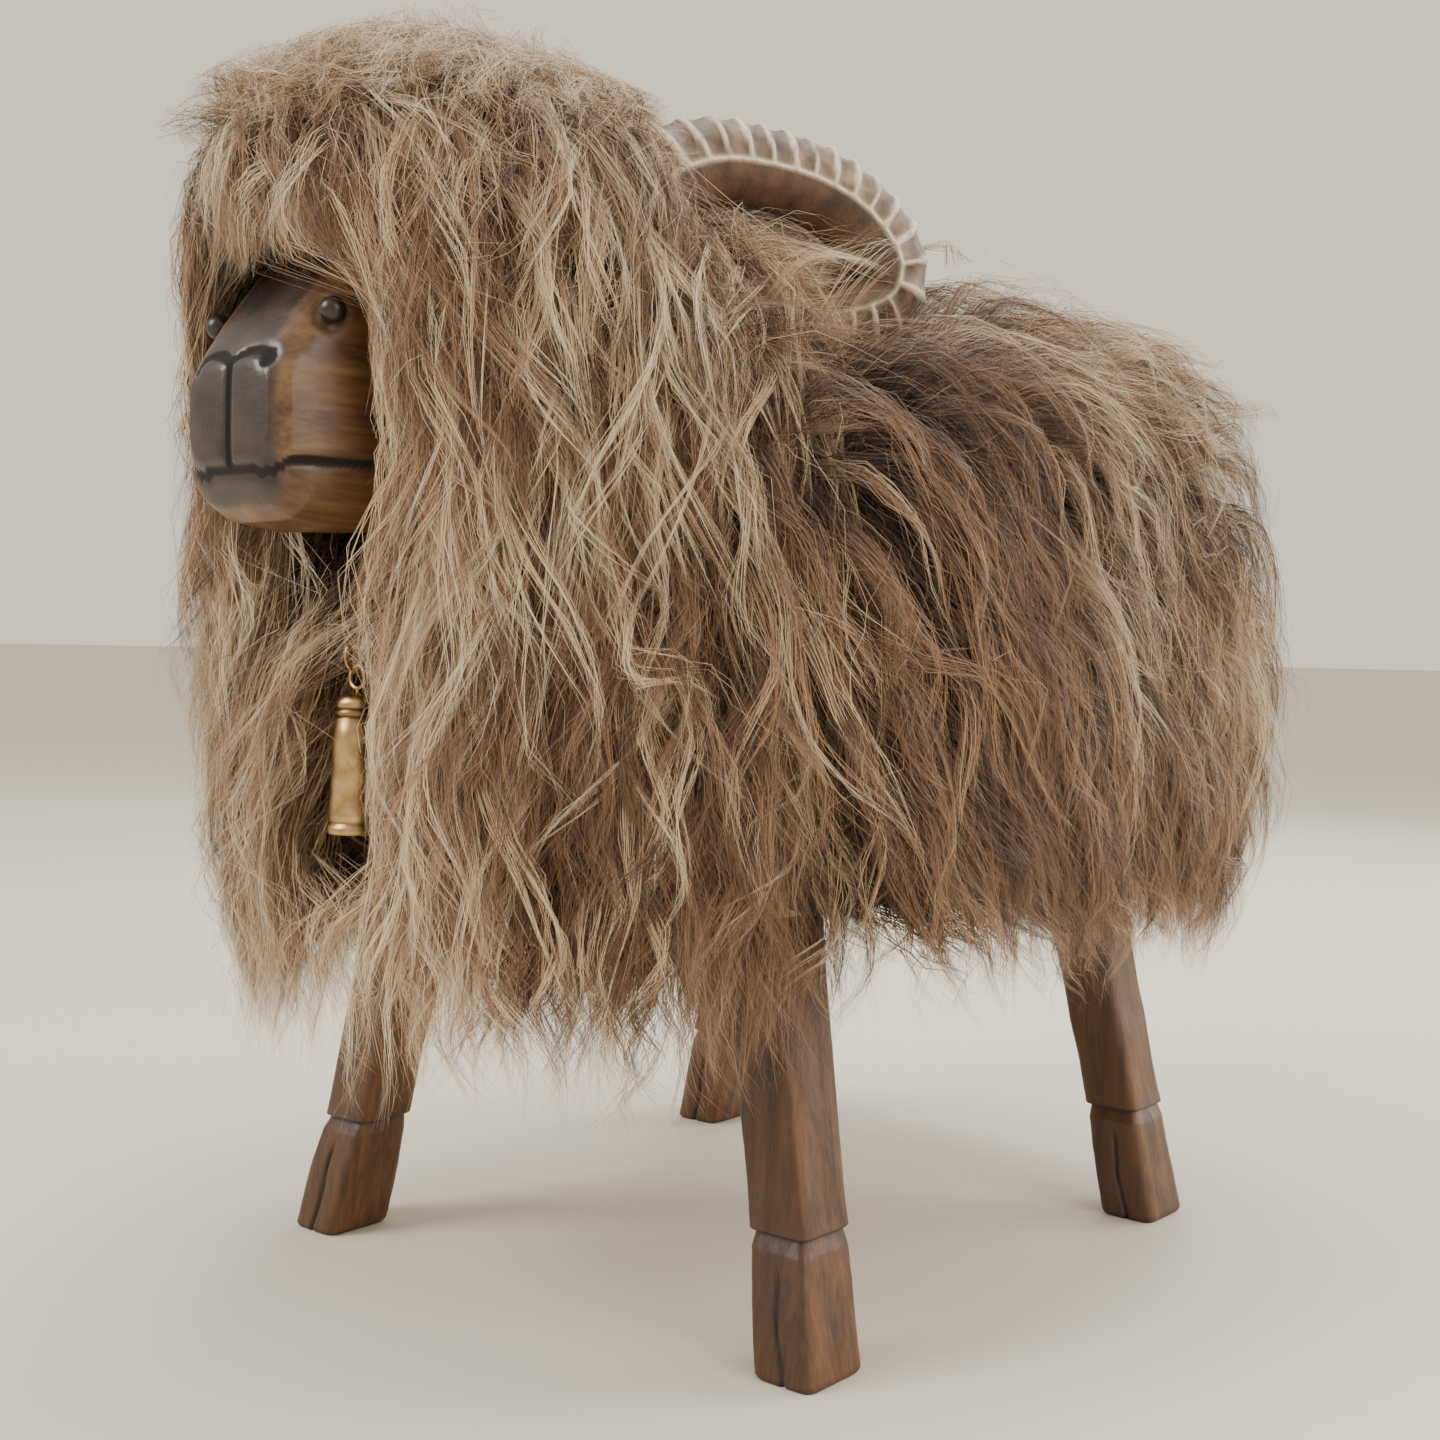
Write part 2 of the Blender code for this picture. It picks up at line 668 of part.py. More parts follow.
def make_horn(word, side, head):
    horn = place("horn_" + word, horn_mesh("horn", side), HORN_WOOD)
    carve(horn, cutter("horn_seat_" + word, head_mesh("horn_seat", SEAT_GAP)))
    inner = Vector((side * HORN_DOWEL_START.x, HORN_DOWEL_START.y, HORN_DOWEL_START.z))
    outer = horn_point(side, *HORN_DOWEL_END)
    dowel = rod_mesh("horn_dowel", inner, outer, DOWEL_RADIUS)
    place("horn_dowel_" + word, dowel, FRAME_WOOD)
    more = (outer - inner).normalized() * GAP
    bore_mesh = rod_mesh("bore", inner - more, outer + more, DOWEL_RADIUS + GAP)
    bore = cutter("horn_dowel_" + word, bore_mesh)
    carve(head, bore)
    carve(horn, bore)


# ---- collar and bell ----
def band_rings():
    """Rings round the tilted collar: each is the strap's own rectangular section."""
    tilt = Matrix.Rotation(COLLAR_TILT, 4, "X")
    half_thick = COLLAR_THICK / 2
    half_wide = COLLAR_WIDE / 2
    rings = []
    for i in range(COLLAR_STEPS):
        angle = 2 * math.pi * i / COLLAR_STEPS
        c, s = math.cos(angle), math.sin(angle)
        middle = Vector((COLLAR_HALF_X * c, COLLAR_HALF_Y * s, 0))
        outward = Vector((COLLAR_HALF_Y * c, COLLAR_HALF_X * s, 0)).normalized()
        ring = []
        for a, b in ((-1, -1), (1, -1), (1, 1), (-1, 1)):
            local = middle + outward * (a * half_thick) + Vector((0, 0, b * half_wide))
            ring.append(COLLAR_CENTRE + tilt @ local)
        rings.append(ring)
    return rings


def make_collar():
    mesh = bpy.data.meshes.new("collar_strap")
    work = bmesh.new()
    made = [[work.verts.new(point) for point in ring] for ring in band_rings()]
    for ring, after in zip(made, made[1:] + made[:1]):
        for i in range(4):
            j = (i + 1) % 4
            work.faces.new((ring[i], ring[j], after[j], after[i]))
    bmesh.ops.recalc_face_normals(work, faces=work.faces)
    work.to_mesh(mesh)
    work.free()
    place("collar_strap", mesh, LEATHER)


def make_collar_loop():
    """A plate on the strap's tilted front, with a wire bar that the bell's ring hangs on."""
    tilt = Matrix.Rotation(COLLAR_TILT, 4, "X")
    at = Vector((0.0, BELL_Y, BAR_Z))
    inner = -(COLLAR_HALF_Y + COLLAR_THICK / 2 + GAP)
    mesh = box_mesh("plate", (-0.006, inner - PLATE_THICK, -0.005), (0.006, inner, 0.005))
    mesh.transform(Matrix.Translation(COLLAR_CENTRE - at) @ tilt)
    loop = place("collar_loop", mesh, BRASS, at)
    plate_middle = COLLAR_CENTRE + tilt @ Vector((0, inner - PLATE_THICK / 2, 0))
    rise = plate_middle.z - BAR_Z
    reach = plate_middle.y + rise * math.tan(COLLAR_TILT) - BELL_Y
    half, corner = 0.0042, 0.0008
    points = [(-half, reach, 0), (-half, corner, 0), (corner - half, 0, 0),
              (half - corner, 0, 0), (half, corner, 0), (half, reach, 0)]
    carve(loop, cutter("collar_wire", wire_mesh("collar_wire", points, BAR_RADIUS), at), "UNION")


def make_bell():
    lie_x = Matrix.Rotation(math.radians(90), 3, "Y")   # ring in the YZ plane
    lie_y = Matrix.Rotation(math.radians(90), 3, "X")   # ring in the XZ plane
    bar = Vector((0.0, BELL_Y, BAR_Z))
    ring_drop = RING_RADIUS - RING_WIRE - BAR_RADIUS - GAP
    ring_mesh = torus_mesh("bell_ring", RING_RADIUS, RING_WIRE, lie_x, (0, 0, -ring_drop))
    place("bell_ring", ring_mesh, BRASS, bar)
    hang = bar - Vector((0, 0, ring_drop + RING_RADIUS))
    eye_drop = EYE_LOOP_RADIUS - EYE_LOOP_WIRE - RING_WIRE - GAP
    eye_centre = -eye_drop
    crown_top = eye_centre - EYE_LOOP_RADIUS - 0.0015
    top_eye = torus_mesh("bell_hanger", EYE_LOOP_RADIUS, EYE_LOOP_WIRE, lie_y, (0, 0, eye_centre))
    hanger = place("bell_hanger", top_eye, BRASS, hang)
    inner_eye = crown_top - 0.0065
    shank_top = (0, 0, eye_centre - EYE_LOOP_RADIUS)
    shank = rod_mesh("hanger_shank", shank_top, (0, 0, inner_eye + 0.0020), EYE_LOOP_WIRE, 10)
    carve(hanger, cutter("hanger_shank", shank, hang), "UNION")
    lower = torus_mesh("hanger_eye", SMALL_EYE_RADIUS, SMALL_EYE_WIRE, lie_y, (0, 0, inner_eye), 20, 8)
    carve(hanger, cutter("hanger_eye", lower, hang), "UNION")
    mouth = crown_top - BELL_LENGTH
    profile = (
        (0.0014, crown_top),
        (0.0045, crown_top - 0.0004),
        (0.0068, crown_top - 0.0016),
        (BELL_TOP_RADIUS, crown_top - 0.0040),
        (BELL_TOP_RADIUS + 0.0012, crown_top - 0.022),
        (BELL_MOUTH_RADIUS - 0.0004, mouth + 0.0040),
        (BELL_MOUTH_RADIUS, mouth),
        (BELL_MOUTH_RADIUS - BELL_WALL, mouth),
        (BELL_TOP_RADIUS + 0.0012 - BELL_WALL, crown_top - 0.022),
        (BELL_TOP_RADIUS - BELL_WALL, crown_top - 0.0042),
        (0.0048, crown_top - 0.0024),
        (0.0014, crown_top - 0.0016),
    )
    turned("bell", profile, BRASS, hang, steps=32, closed=True)
    pivot = inner_eye - SMALL_EYE_RADIUS
    swing = hang + Vector((0, 0, pivot))
    clapper_eye = -(CLAPPER_EYE_RADIUS - 2 * SMALL_EYE_WIRE - GAP)
    eye_mesh = torus_mesh(
        "clapper", CLAPPER_EYE_RADIUS, SMALL_EYE_WIRE, lie_x, (0, 0, clapper_eye), 20, 8
    )
    clapper = place("clapper", eye_mesh, BRASS, swing)
    ball_at = mouth + CLAPPER_LIFT - pivot
    rod = rod_mesh("clapper_rod", (0, 0, clapper_eye - CLAPPER_EYE_RADIUS), (0, 0, ball_at), 0.0007, 8)
    carve(clapper, cutter("clapper_rod", rod, swing), "UNION")
    ball = ball_mesh("clapper_ball", CLAPPER_BALL, 14, 8)
    carve(clapper, cutter("clapper_ball", ball, swing + Vector((0, 0, ball_at))), "UNION")


# ---- fleece ----
def make_fleece():
    body_mesh = loft_mesh("fleece_body", level_rings(BODY_FLEECE, power=BODY_POWER))
    body = place("fleece_body", body_mesh, FLEECE)
    mane_mesh = loft_mesh("fleece_mane", level_rings(MANE_FLEECE, power=MANE_POWER))
    mane = place("fleece_mane", mane_mesh, FLEECE)
    halves = ((body, "front_half", -0.6, GAP / 2), (mane, "rear_half", -GAP / 2, 0.6))
    for piece, name, near, far in halves:
        half = cutter(name, box_mesh(name, (-0.5, near, -0.6), (0.5, far, 0.6)), FLEECE_SPLIT)
        half.rotation_euler = (FLEECE_SPLIT_TILT, 0.0, 0.0)
        carve(piece, half)
    lowest = (BASE_BOTTOM - 0.001, *PADDING[0][1:])
    highest = (PADDING[-1][0] + CORE_GAP, *PADDING[-1][1:])
    core = cutter("core", padding_mesh("core", [lowest, *PADDING[1:-1], highest], CORE_GAP))
    low_corner = (-SKIRT_CLEAR_X, SKIRT_CLEAR_Y[0], 0.0)
    high_corner = (SKIRT_CLEAR_X, SKIRT_CLEAR_Y[1], BASE_TOP + 2 * GAP)
    legs_room = cutter("legs_room", box_mesh("legs_room", low_corner, high_corner))
    neck = cutter("neck_room", neck_recess("neck_room", 0.0005))
    low_corner = (-NECK_HALF_X - GAP, NECK_Y[0] - GAP, 0.0)
    high_corner = (NECK_HALF_X + GAP, -0.05, NECK_Z[1] + GAP)
    post = cutter("post_way", box_mesh("post_way", low_corner, high_corner))
    head = cutter("head_room", head_mesh("head_room", WOOL_GAP))
    for piece in (body, mane):
        carve(piece, core)
        carve(piece, legs_room)
        carve(piece, neck)
        carve(piece, post)
        carve(piece, head)
    levels = ((0.290, 0.040, -0.35, -0.214), (0.386, 0.040, -0.35, -0.214))
    carve(mane, cutter("face_room", loft_mesh("face_room", level_rings(levels, power=4, count=20))))
    levels = ((0.05, 0.045, -0.33, -0.178), (0.272, 0.045, -0.33, -0.178))
    carve(mane, cutter("bell_room", loft_mesh("bell_room", level_rings(levels, power=6, count=24))))
    for word, side in SIDES:
        room = cutter("horn_room_" + word, horn_mesh("horn_room", side, WOOL_GAP))
        carve(mane, room)
        carve(body, room)
        bend = horn_point(side, *HORN_BEND)
        carve(body, cutter("bend_room_" + word, ball_mesh("bend_room", HORN_BEND_ROOM, 16, 10), bend))


def main():
    base, front, sides, top = make_frame()
    make_screws(base, sides, top)
    make_tacks(base)
    make_padding()
    post = make_neck(front)
    make_head(post)
    make_collar()
    make_collar_loop()
    make_bell()
    make_fleece()


main()
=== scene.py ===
"""The looks of the ram footstool: sheepskin wool grown as modelled hair, carved and stained wood,
ridged horns, a leather collar and a brass bell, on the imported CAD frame."""

import contextlib
import math

import bmesh
import bpy
import numpy as np
from mathutils import Matrix, Vector


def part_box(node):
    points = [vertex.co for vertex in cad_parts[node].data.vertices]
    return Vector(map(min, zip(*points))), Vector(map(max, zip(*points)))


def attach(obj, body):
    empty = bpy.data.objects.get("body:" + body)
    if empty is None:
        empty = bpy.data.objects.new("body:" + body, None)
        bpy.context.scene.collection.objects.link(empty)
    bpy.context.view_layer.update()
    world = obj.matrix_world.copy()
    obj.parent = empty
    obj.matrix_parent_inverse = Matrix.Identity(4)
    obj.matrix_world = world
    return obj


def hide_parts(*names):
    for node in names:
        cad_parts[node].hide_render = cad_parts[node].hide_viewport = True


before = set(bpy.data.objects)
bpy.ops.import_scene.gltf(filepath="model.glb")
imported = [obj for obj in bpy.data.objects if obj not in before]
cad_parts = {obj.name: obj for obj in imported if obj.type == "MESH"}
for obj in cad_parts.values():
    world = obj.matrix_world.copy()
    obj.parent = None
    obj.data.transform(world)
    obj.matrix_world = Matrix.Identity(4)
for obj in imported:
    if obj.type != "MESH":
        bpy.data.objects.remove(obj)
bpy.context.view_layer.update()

# ---- wool: amounts and sizes, in metres ----
STEPS = 12                    # points along a lock's middle line
BEND = 0.28                   # the share of a lock in which it bends over to lie flat
POINTS = 9                    # points along a hair
HAIR_WIDTH = 0.00034
STRANDS = 5                   # strands in a lock
PIECE_TRIANGLES = 190000      # a wool piece stays under this

BODY_CORE = dict(centre=(0.0, 0.036, 0.250), half=(0.151, 0.174, 0.114), power=4.0)
NECK_CORE = dict(centre=(0.0, -0.096, 0.300), half=(0.098, 0.084, 0.098), power=2.2)
HEAD_CORE = dict(centre=(0.0, -0.160, 0.392), half=(0.056, 0.066, 0.056), power=2.2, column=False)
NAPE_CORE = dict(centre=(0.0, -0.024, 0.376), half=(0.050, 0.088, 0.063), power=2.4, column=False)
CROWN_Y = -0.150              # the wool of the head parts here
BODY_POWER, MANE_POWER = 3.6, 2.1   # how square the outlines are, seen from above

# the wool's outer shape: height, half width, front, back
BODY_OUTLINE = (
    (0.128, 0.170, -0.16, 0.232),
    (0.190, 0.187, -0.18, 0.258),
    (0.255, 0.194, -0.18, 0.277),
    (0.320, 0.192, -0.18, 0.274),
    (0.362, 0.182, -0.17, 0.260),
    (0.395, 0.162, -0.16, 0.236),
    (0.412, 0.130, -0.14, 0.198),
    (0.424, 0.090, -0.11, 0.150),
)
MANE_OUTLINE = (
    (0.118, 0.128, -0.216, 0.06),
    (0.185, 0.147, -0.232, 0.06),
    (0.255, 0.153, -0.240, 0.06),
    (0.320, 0.143, -0.238, 0.06),
    (0.365, 0.126, -0.244, 0.05),
    (0.402, 0.108, -0.255, 0.03),
    (0.428, 0.092, -0.250, 0.00),
    (0.446, 0.072, -0.232, -0.03),
    (0.459, 0.048, -0.206, -0.06),
    (0.467, 0.020, -0.180, -0.10),
)
CROWN_OUTLINE = (
    (0.350, 0.114, -0.252, 0.00),
    (0.412, 0.106, -0.264, 0.00),
    (0.440, 0.088, -0.258, -0.02),
    (0.460, 0.058, -0.230, -0.05),
    (0.474, 0.026, -0.195, -0.09),
)
NAPE_OUTLINE = (
    (0.330, 0.086, -0.17, 0.115),
    (0.400, 0.080, -0.16, 0.112),
    (0.436, 0.068, -0.14, 0.096),
    (0.462, 0.036, -0.11, 0.050),
)

FACE_BACK = -0.214            # the wool leaves the muzzle in view in front of this
HORN_CENTRE = np.array([0.074, -0.049, 0.410])
HORN_TURN = math.radians(25)
HORN_DEPTH = 0.82
# the horn's middle line in its own plane (along, up) and its half width, root to tip
HORN_PATH = (
    (-0.080, 0.004, 0.0180),
    (-0.062, 0.022, 0.0180),
    (-0.038, 0.033, 0.0175),
    (-0.013, 0.034, 0.0165),
    (0.010, 0.030, 0.0170),
    (0.030, 0.020, 0.0180),
    (0.043, 0.004, 0.0190),
    (0.042, -0.010, 0.0165),
    (0.032, -0.017, 0.0130),
    (0.020, -0.020, 0.0100),
    (0.010, -0.022, 0.0080),
)
# the carved head, front to back: y, underside, top, half width
HEAD = (
    (-0.2550, 0.3170, 0.3500, 0.0215),
    (-0.2500, 0.3030, 0.3575, 0.0265),
    (-0.2420, 0.2980, 0.3690, 0.0290),
    (-0.2250, 0.2960, 0.3900, 0.0325),
    (-0.2000, 0.2970, 0.4120, 0.0370),
    (-0.1700, 0.3050, 0.4300, 0.0420),
    (-0.1450, 0.3300, 0.4400, 0.0450),
    (-0.1200, 0.3620, 0.4440, 0.0450),
    (-0.1000, 0.3680, 0.4400, 0.0420),
    (-0.0940, 0.3750, 0.4300, 0.0360),
)
EYE_AT = np.array([0.0306, -0.2370, 0.3665])
EYE_RADIUS = 0.0045
MOUTH_Z = 0.3148
NOSTRIL_Z = 0.3510
NOSE_HALF = 0.0225            # half width of the nose plates
# a leg, ground to shoulder: height, half width, half length, how far the section leads forward
NOTCH = 0.0500
LEG = (
    (0.0000, 0.0120, 0.0155, 0.0025),
    (0.0015, 0.0134, 0.0170, 0.0025),
    (0.0300, 0.0132, 0.0160, 0.0015),
    (0.0440, 0.0129, 0.0149, 0.0007),
    (0.0488, 0.0118, 0.0135, 0.0000),
    (0.0497, 0.0116, 0.0132, 0.0000),
    (0.0503, 0.0134, 0.0152, 0.0000),
    (0.0600, 0.0132, 0.0150, 0.0000),
    (0.1200, 0.0136, 0.0154, 0.0000),
    (0.1640, 0.0140, 0.0158, 0.0000),
)
LEG_SPLAY = (0.200, 0.078)    # lean of a leg, sideways and fore and aft, per metre of height
SOLE_HALF = (0.0136, 0.0172)  # of the CAD leg's sole, sideways and fore and aft
SOLE_LEAD = 0.0025            # how far the sole leads forward of the leg's own line
TENON_RADIUS = 0.0088
COLLAR_CENTRE = np.array([0.0, -0.1375, 0.3005])
COLLAR_TILT = math.radians(38)
COLLAR_HALF_Y = 0.0670
COLLAR_THICK = 0.0024
COLLAR_WIDE = 0.0120
STITCH_AT = 0.0043            # the sewn lines, to both sides of the strap's middle
LEGS = (
    ("front_left", 1, -1),
    ("front_right", -1, -1),
    ("rear_left", 1, 1),
    ("rear_right", -1, 1),
)
SIDES = (("left", 1), ("right", -1))


# ---- small helpers ----
def unit(v):
    return v / np.maximum(np.linalg.norm(v, axis=-1, keepdims=True), 1e-9)


def smooth(x):
    x = np.clip(x, 0.0, 1.0)
    return x * x * (3 - 2 * x)


def bump(x, middle, width):
    """1 at the middle, falling off to both sides."""
    return np.exp(-((x - middle) / width) ** 2)


def window(x, low, high, soft):
    """1 between low and high, with soft edges."""
    return smooth((x - low) / soft + 0.5) * smooth((high - x) / soft + 0.5)


def smooth_path(points, per_span):
    """Catmull-Rom points through a list."""
    p = np.array(points)
    ends = np.concatenate([p[:1], p, p[-1:]])
    out = []
    for a, b, c, d in zip(ends, ends[1:], ends[2:], ends[3:]):
        for step in range(per_span):
            t = step / per_span
            out.append(0.5 * (2 * b + (c - a) * t + (2 * a - 5 * b + 4 * c - d) * t ** 2
                              + (3 * b - a - 3 * c + d) * t ** 3))
    return np.array(out + [p[-1]])


# ---- the solid body under the wool ----
def core_level(core, p):
    """Below 1 is inside. The shape is half a superellipsoid on a column that goes down for ever."""
    c, h, n = np.array(core["centre"]), np.array(core["half"]), core["power"]
    q = np.abs((p - c) / h)
    if core.get("column", True):
        q[..., 2] = np.where(p[..., 2] > c[2], q[..., 2], 0.0)
    return (q ** n).sum(axis=-1) ** (1 / n)


def core_out(core, p):
    """Unit direction straight out of the core, and roughly how far outside a point is."""
    e = 0.0005
    level = core_level(core, p)
    grad = np.stack([
        core_level(core, p + np.eye(3)[i] * e) - core_level(core, p - np.eye(3)[i] * e) for i in range(3)
    ], axis=-1) / (2 * e)
    size = np.maximum(np.linalg.norm(grad, axis=-1), 1e-6)
    return grad / size[..., None], (level - 1.0) / size


def push_out(cores, p, margin):
    for core in cores:
        out, distance = core_out(core, p)
        short = np.clip(margin - distance, 0.0, 0.02)
        p = p + out * short[..., None]
    return p


def hold_in(outline, power, p, slack=1.0):
    """Pulls points that stand outside the wool's outline most of the way back to it."""
    table = np.array(outline)
    z = p[..., 2]
    half, front, back = (np.interp(z, table[:, 0], table[:, i]) for i in (1, 2, 3))
    middle = (front + back) / 2
    half_y = (back - front) / 2
    level = np.abs(p[..., 0] / half) ** power + np.abs((p[..., 1] - middle) / half_y) ** power
    level = level ** (1 / power)
    pull = np.where(level > slack, (slack + (level - slack) * 0.25) / np.maximum(level, 1e-6), 1.0)
    top = table[-1, 0] * (0.65 + 0.35 * slack)
    return np.stack([
        p[..., 0] * pull, middle + (p[..., 1] - middle) * pull, np.where(z > top, top + (z - top) * 0.3, z)
    ], axis=-1)


def core_roots(rng, core, count, z_low, keep):
    """Random points all over a core's skin, evenly, with the skin's normal at each."""
    c, h = np.array(core["centre"]), np.array(core["half"])
    found, normals = [], []
    total = 0
    while total < count:
        low, high = c - h * 1.02, c + h * 1.02
        low[2] = z_low
        p = rng.uniform(low, high, (count * 6, 3))
        out, distance = core_out(core, p)
        near = np.abs(distance) < 0.010
        p, out, distance = p[near], out[near], distance[near]
        p = p - out * distance[:, None]
        good = keep(p)
        found.append(p[good])
        normals.append(out[good])
        total += good.sum()
    return np.concatenate(found)[:count], np.concatenate(normals)[:count]


# ---- growing locks ----
def grow(rng, roots, normals, length, lift, comb, cores, outline, power, wander):
    """Middle lines of locks: up off the skin, then over to lie along the comb's direction."""
    n = len(roots)
    step = (length / STEPS)[:, None]
    drift_a = rng.normal(0, 1, (n, 3))
    drift_b = rng.normal(0, 1, (n, 3))
    slack = rng.normal(0.960, 0.035, n)
    p = roots.copy()
    line = [p]
    for k in range(STEPS):
        t = (k + 0.5) / STEPS
        over = smooth(np.array(t / BEND))
        aim = comb(p, t)
        drift = (drift_a * math.cos(2.6 * t) + drift_b * math.sin(2.6 * t)) * wander
        d = unit(normals * (1 - over) * 0.9 + aim * (0.25 + over) + drift * over)
        p = p + d * step
        p = push_out(cores, p, lift * smooth(np.array((k + 1) / STEPS / BEND)))
        p = hold_in(outline, power, p, slack)
        line.append(p)
    return np.stack(line, axis=1)


def resample(lines, count):
    """Lines of equal point number, read at count places along them."""
    m = lines.shape[1]
    at = np.linspace(0, m - 1, count)
    i = np.clip(at.astype(int), 0, m - 2)
    f = (at - i)[None, :, None]
    a = lines[:, np.clip(i - 1, 0, m - 1)]
    b, c = lines[:, i], lines[:, i + 1]
    d = lines[:, np.clip(i + 2, 0, m - 1)]
    square = 2 * a - 5 * b + 4 * c - d
    return 0.5 * (2 * b + (c - a) * f + square * f * f + (3 * b - a - 3 * c + d) * f ** 3)


def resample_each(lines, trim):
    """Each line cut to its own share of its length."""
    n, m, _ = lines.shape
    at = np.linspace(0, 1, m)[None, :] * trim[:, None] * (m - 1)
    i = np.clip(at.astype(int), 0, m - 2)
    f = (at - i)[..., None]
    rows = np.arange(n)[:, None]
    return lines[rows, i] * (1 - f) + lines[rows, i + 1] * f


def first_blocked(blocked):
    """The share of each line that comes before its first blocked point."""
    m = blocked.shape[1]
    where = np.where(blocked.any(axis=1), blocked.argmax(axis=1), m)
    return np.clip((where - 1) / (m - 1), 0.0, 1.0)


def trim_below(rng, locks, floor, ragged):
    """Locks that hang lower than the floor height are cut short there, unevenly."""
    level = floor + np.abs(rng.normal(0, ragged, len(locks))) - 0.4 * ragged
    share = first_blocked(locks[..., 2] < level[:, None])
    return resample_each(locks, np.maximum(share, 0.05))


def hairs_from(rng, locks, outs, tones, per_lock, spread, wave, frizz, clump, loose):
    """Hairs of each lock, in a few strands: they start spread over the skin, draw together and wave."""
    n = len(locks)
    lines = np.repeat(resample(locks, POINTS), per_lock, axis=0)
    t = np.linspace(0, 1, POINTS)[None, :]
    out = np.repeat(outs, per_lock, axis=0)
    count = n * per_lock
    tangent = unit(np.gradient(lines, axis=1))
    side = unit(np.cross(tangent, out[:, None, :]))
    up = np.cross(side, tangent)
    lock = np.repeat(np.arange(n), per_lock)
    strand = rng.integers(0, STRANDS, count)
    strand_at = rng.normal(0, 0.55, (n, STRANDS, 2))[lock, strand]
    strand_wave = rng.uniform(0, 2 * math.pi, (n, STRANDS, 2))
    strand_wave = (strand_wave[:, :1] + 0.35 * strand_wave)[lock, strand]
    stray = rng.uniform(0, 1, count) < loose
    tight = np.where(stray, rng.uniform(-0.6, 0.2, count), clump * rng.uniform(0.85, 1.1, count))
    gather = 1 - tight[:, None] * smooth(t * 1.1)
    gather_strand = 1 - np.where(stray, 0.0, 0.90)[:, None] * smooth(t * 1.6)
    own = rng.normal(0, 0.40, (count, 2))
    a = spread * (strand_at[:, :1] * gather + own[:, :1] * gather_strand)
    b = spread * 0.6 * (strand_at[:, 1:] * gather + own[:, 1:] * gather_strand)
    turns = rng.uniform(1.0, 2.3, n)[lock][:, None] * 2 * math.pi
    amount = rng.uniform(0.5, 1.5, n)[lock][:, None] * wave * smooth(t * 1.5)
    a = a + np.sin(turns * t + strand_wave[:, :1]) * amount
    b = b + np.cos(turns * t * 0.9 + strand_wave[:, 1:]) * amount * 0.7
    rough = frizz * np.where(stray, 2.6, 1.0)[:, None] * smooth(t * 2)
    fine = rng.uniform(0, 2 * math.pi, (count, 2))
    crimps = rng.uniform(3.0, 6.5, count)[:, None] * 2 * math.pi
    a = a + np.sin(crimps * t + fine[:, :1]) * rough
    b = b + np.cos(crimps * t + fine[:, 1:]) * rough
    hair = lines + side * a[..., None] + up * b[..., None]
    hair = resample_each(hair, rng.uniform(0.70, 1.0, count))
    strand_tone = rng.normal(0, 0.15, (n, STRANDS))[lock, strand]
    tone = np.clip(np.repeat(tones, per_lock) + strand_tone + rng.normal(0, 0.07, count), 0.02, 0.98)
    return hair, out, tone


# ---- places that the wool leaves open ----
def face_edge(p):
    """How far a point lies inside the wedge that keeps the muzzle's front and cheeks in view."""
    reach = np.maximum(FACE_BACK - p[..., 1], 0.0)
    return 0.034 + reach / 1.23 - np.abs(p[..., 0])


def aside(p, amount):
    """Points moved sideways, away from the middle plane."""
    x = p[..., 0]
    return np.stack([x + np.where(x >= 0, 1, -1) * amount, p[..., 1], p[..., 2]], axis=-1)


def open_face(p):
    """Points in front of the muzzle are moved most of the way to the wedge's nearer side."""
    high = window(p[..., 2], 0.284, 0.372, 0.016) * smooth((-0.186 - p[..., 1]) / 0.012)
    return aside(p, np.clip(face_edge(p), 0.0, 0.06) * high)


def face_blocked(p):
    """The same wedge with a ragged edge, where hairs end."""
    ragged = 0.5 + 0.5 * ripples(p, 0.007, 77) + 0.8 * ripples(p, 0.022, 78)
    z = p[..., 2] - 0.014 * ragged
    return (z > 0.282) & (z < 0.374) & (p[..., 1] < FACE_BACK) & (face_edge(p) > 0.002 + 0.008 * ragged)


def bell_edge(p):
    flare = 0.08 * np.maximum(0.250 - p[..., 2], 0.0)
    return 0.0145 + flare + np.maximum(-0.1995 - p[..., 1], 0.0) * 0.62 - np.abs(p[..., 0])


def open_bell(p):
    near = window(p[..., 2], 0.172, 0.250, 0.016) * smooth((-0.176 - p[..., 1]) / 0.006)
    return aside(p, np.clip(bell_edge(p), 0.0, 0.05) * near)


def bell_blocked(p):
    z = p[..., 2]
    return (z > 0.176) & (z < 0.246) & (p[..., 1] < -0.183) & (bell_edge(p) > 0.0015)


def horn_frame(p):
    """A point in the plane of the horn on its own side: along, up, and out across the curl."""
    x = np.abs(p[..., 0]) - HORN_CENTRE[0]
    y = p[..., 1] - HORN_CENTRE[1]
    along = x * math.sin(HORN_TURN) + y * math.cos(HORN_TURN)
    out = x * math.cos(HORN_TURN) - y * math.sin(HORN_TURN)
    return along, p[..., 2] - HORN_CENTRE[2], out


def horn_blocked(p, reach=0.0015, behind=-0.018):
    """In the horn, or between it and someone who looks at its outer side."""
    along, up, out = horn_frame(p)
    near = (along > -0.060) & (along < 0.068) & (np.abs(up) < 0.056) & (out > behind)
    hit = np.zeros(along.shape, dtype=bool)
    if near.any():
        path = smooth_path(HORN_PATH, 3)
        a, u = along[near][:, None], up[near][:, None]
        far = np.hypot(a - path[None, :, 0], u - path[None, :, 1]) - path[None, :, 2] - reach
        hit[near] = far.min(axis=1) < 0
    return hit


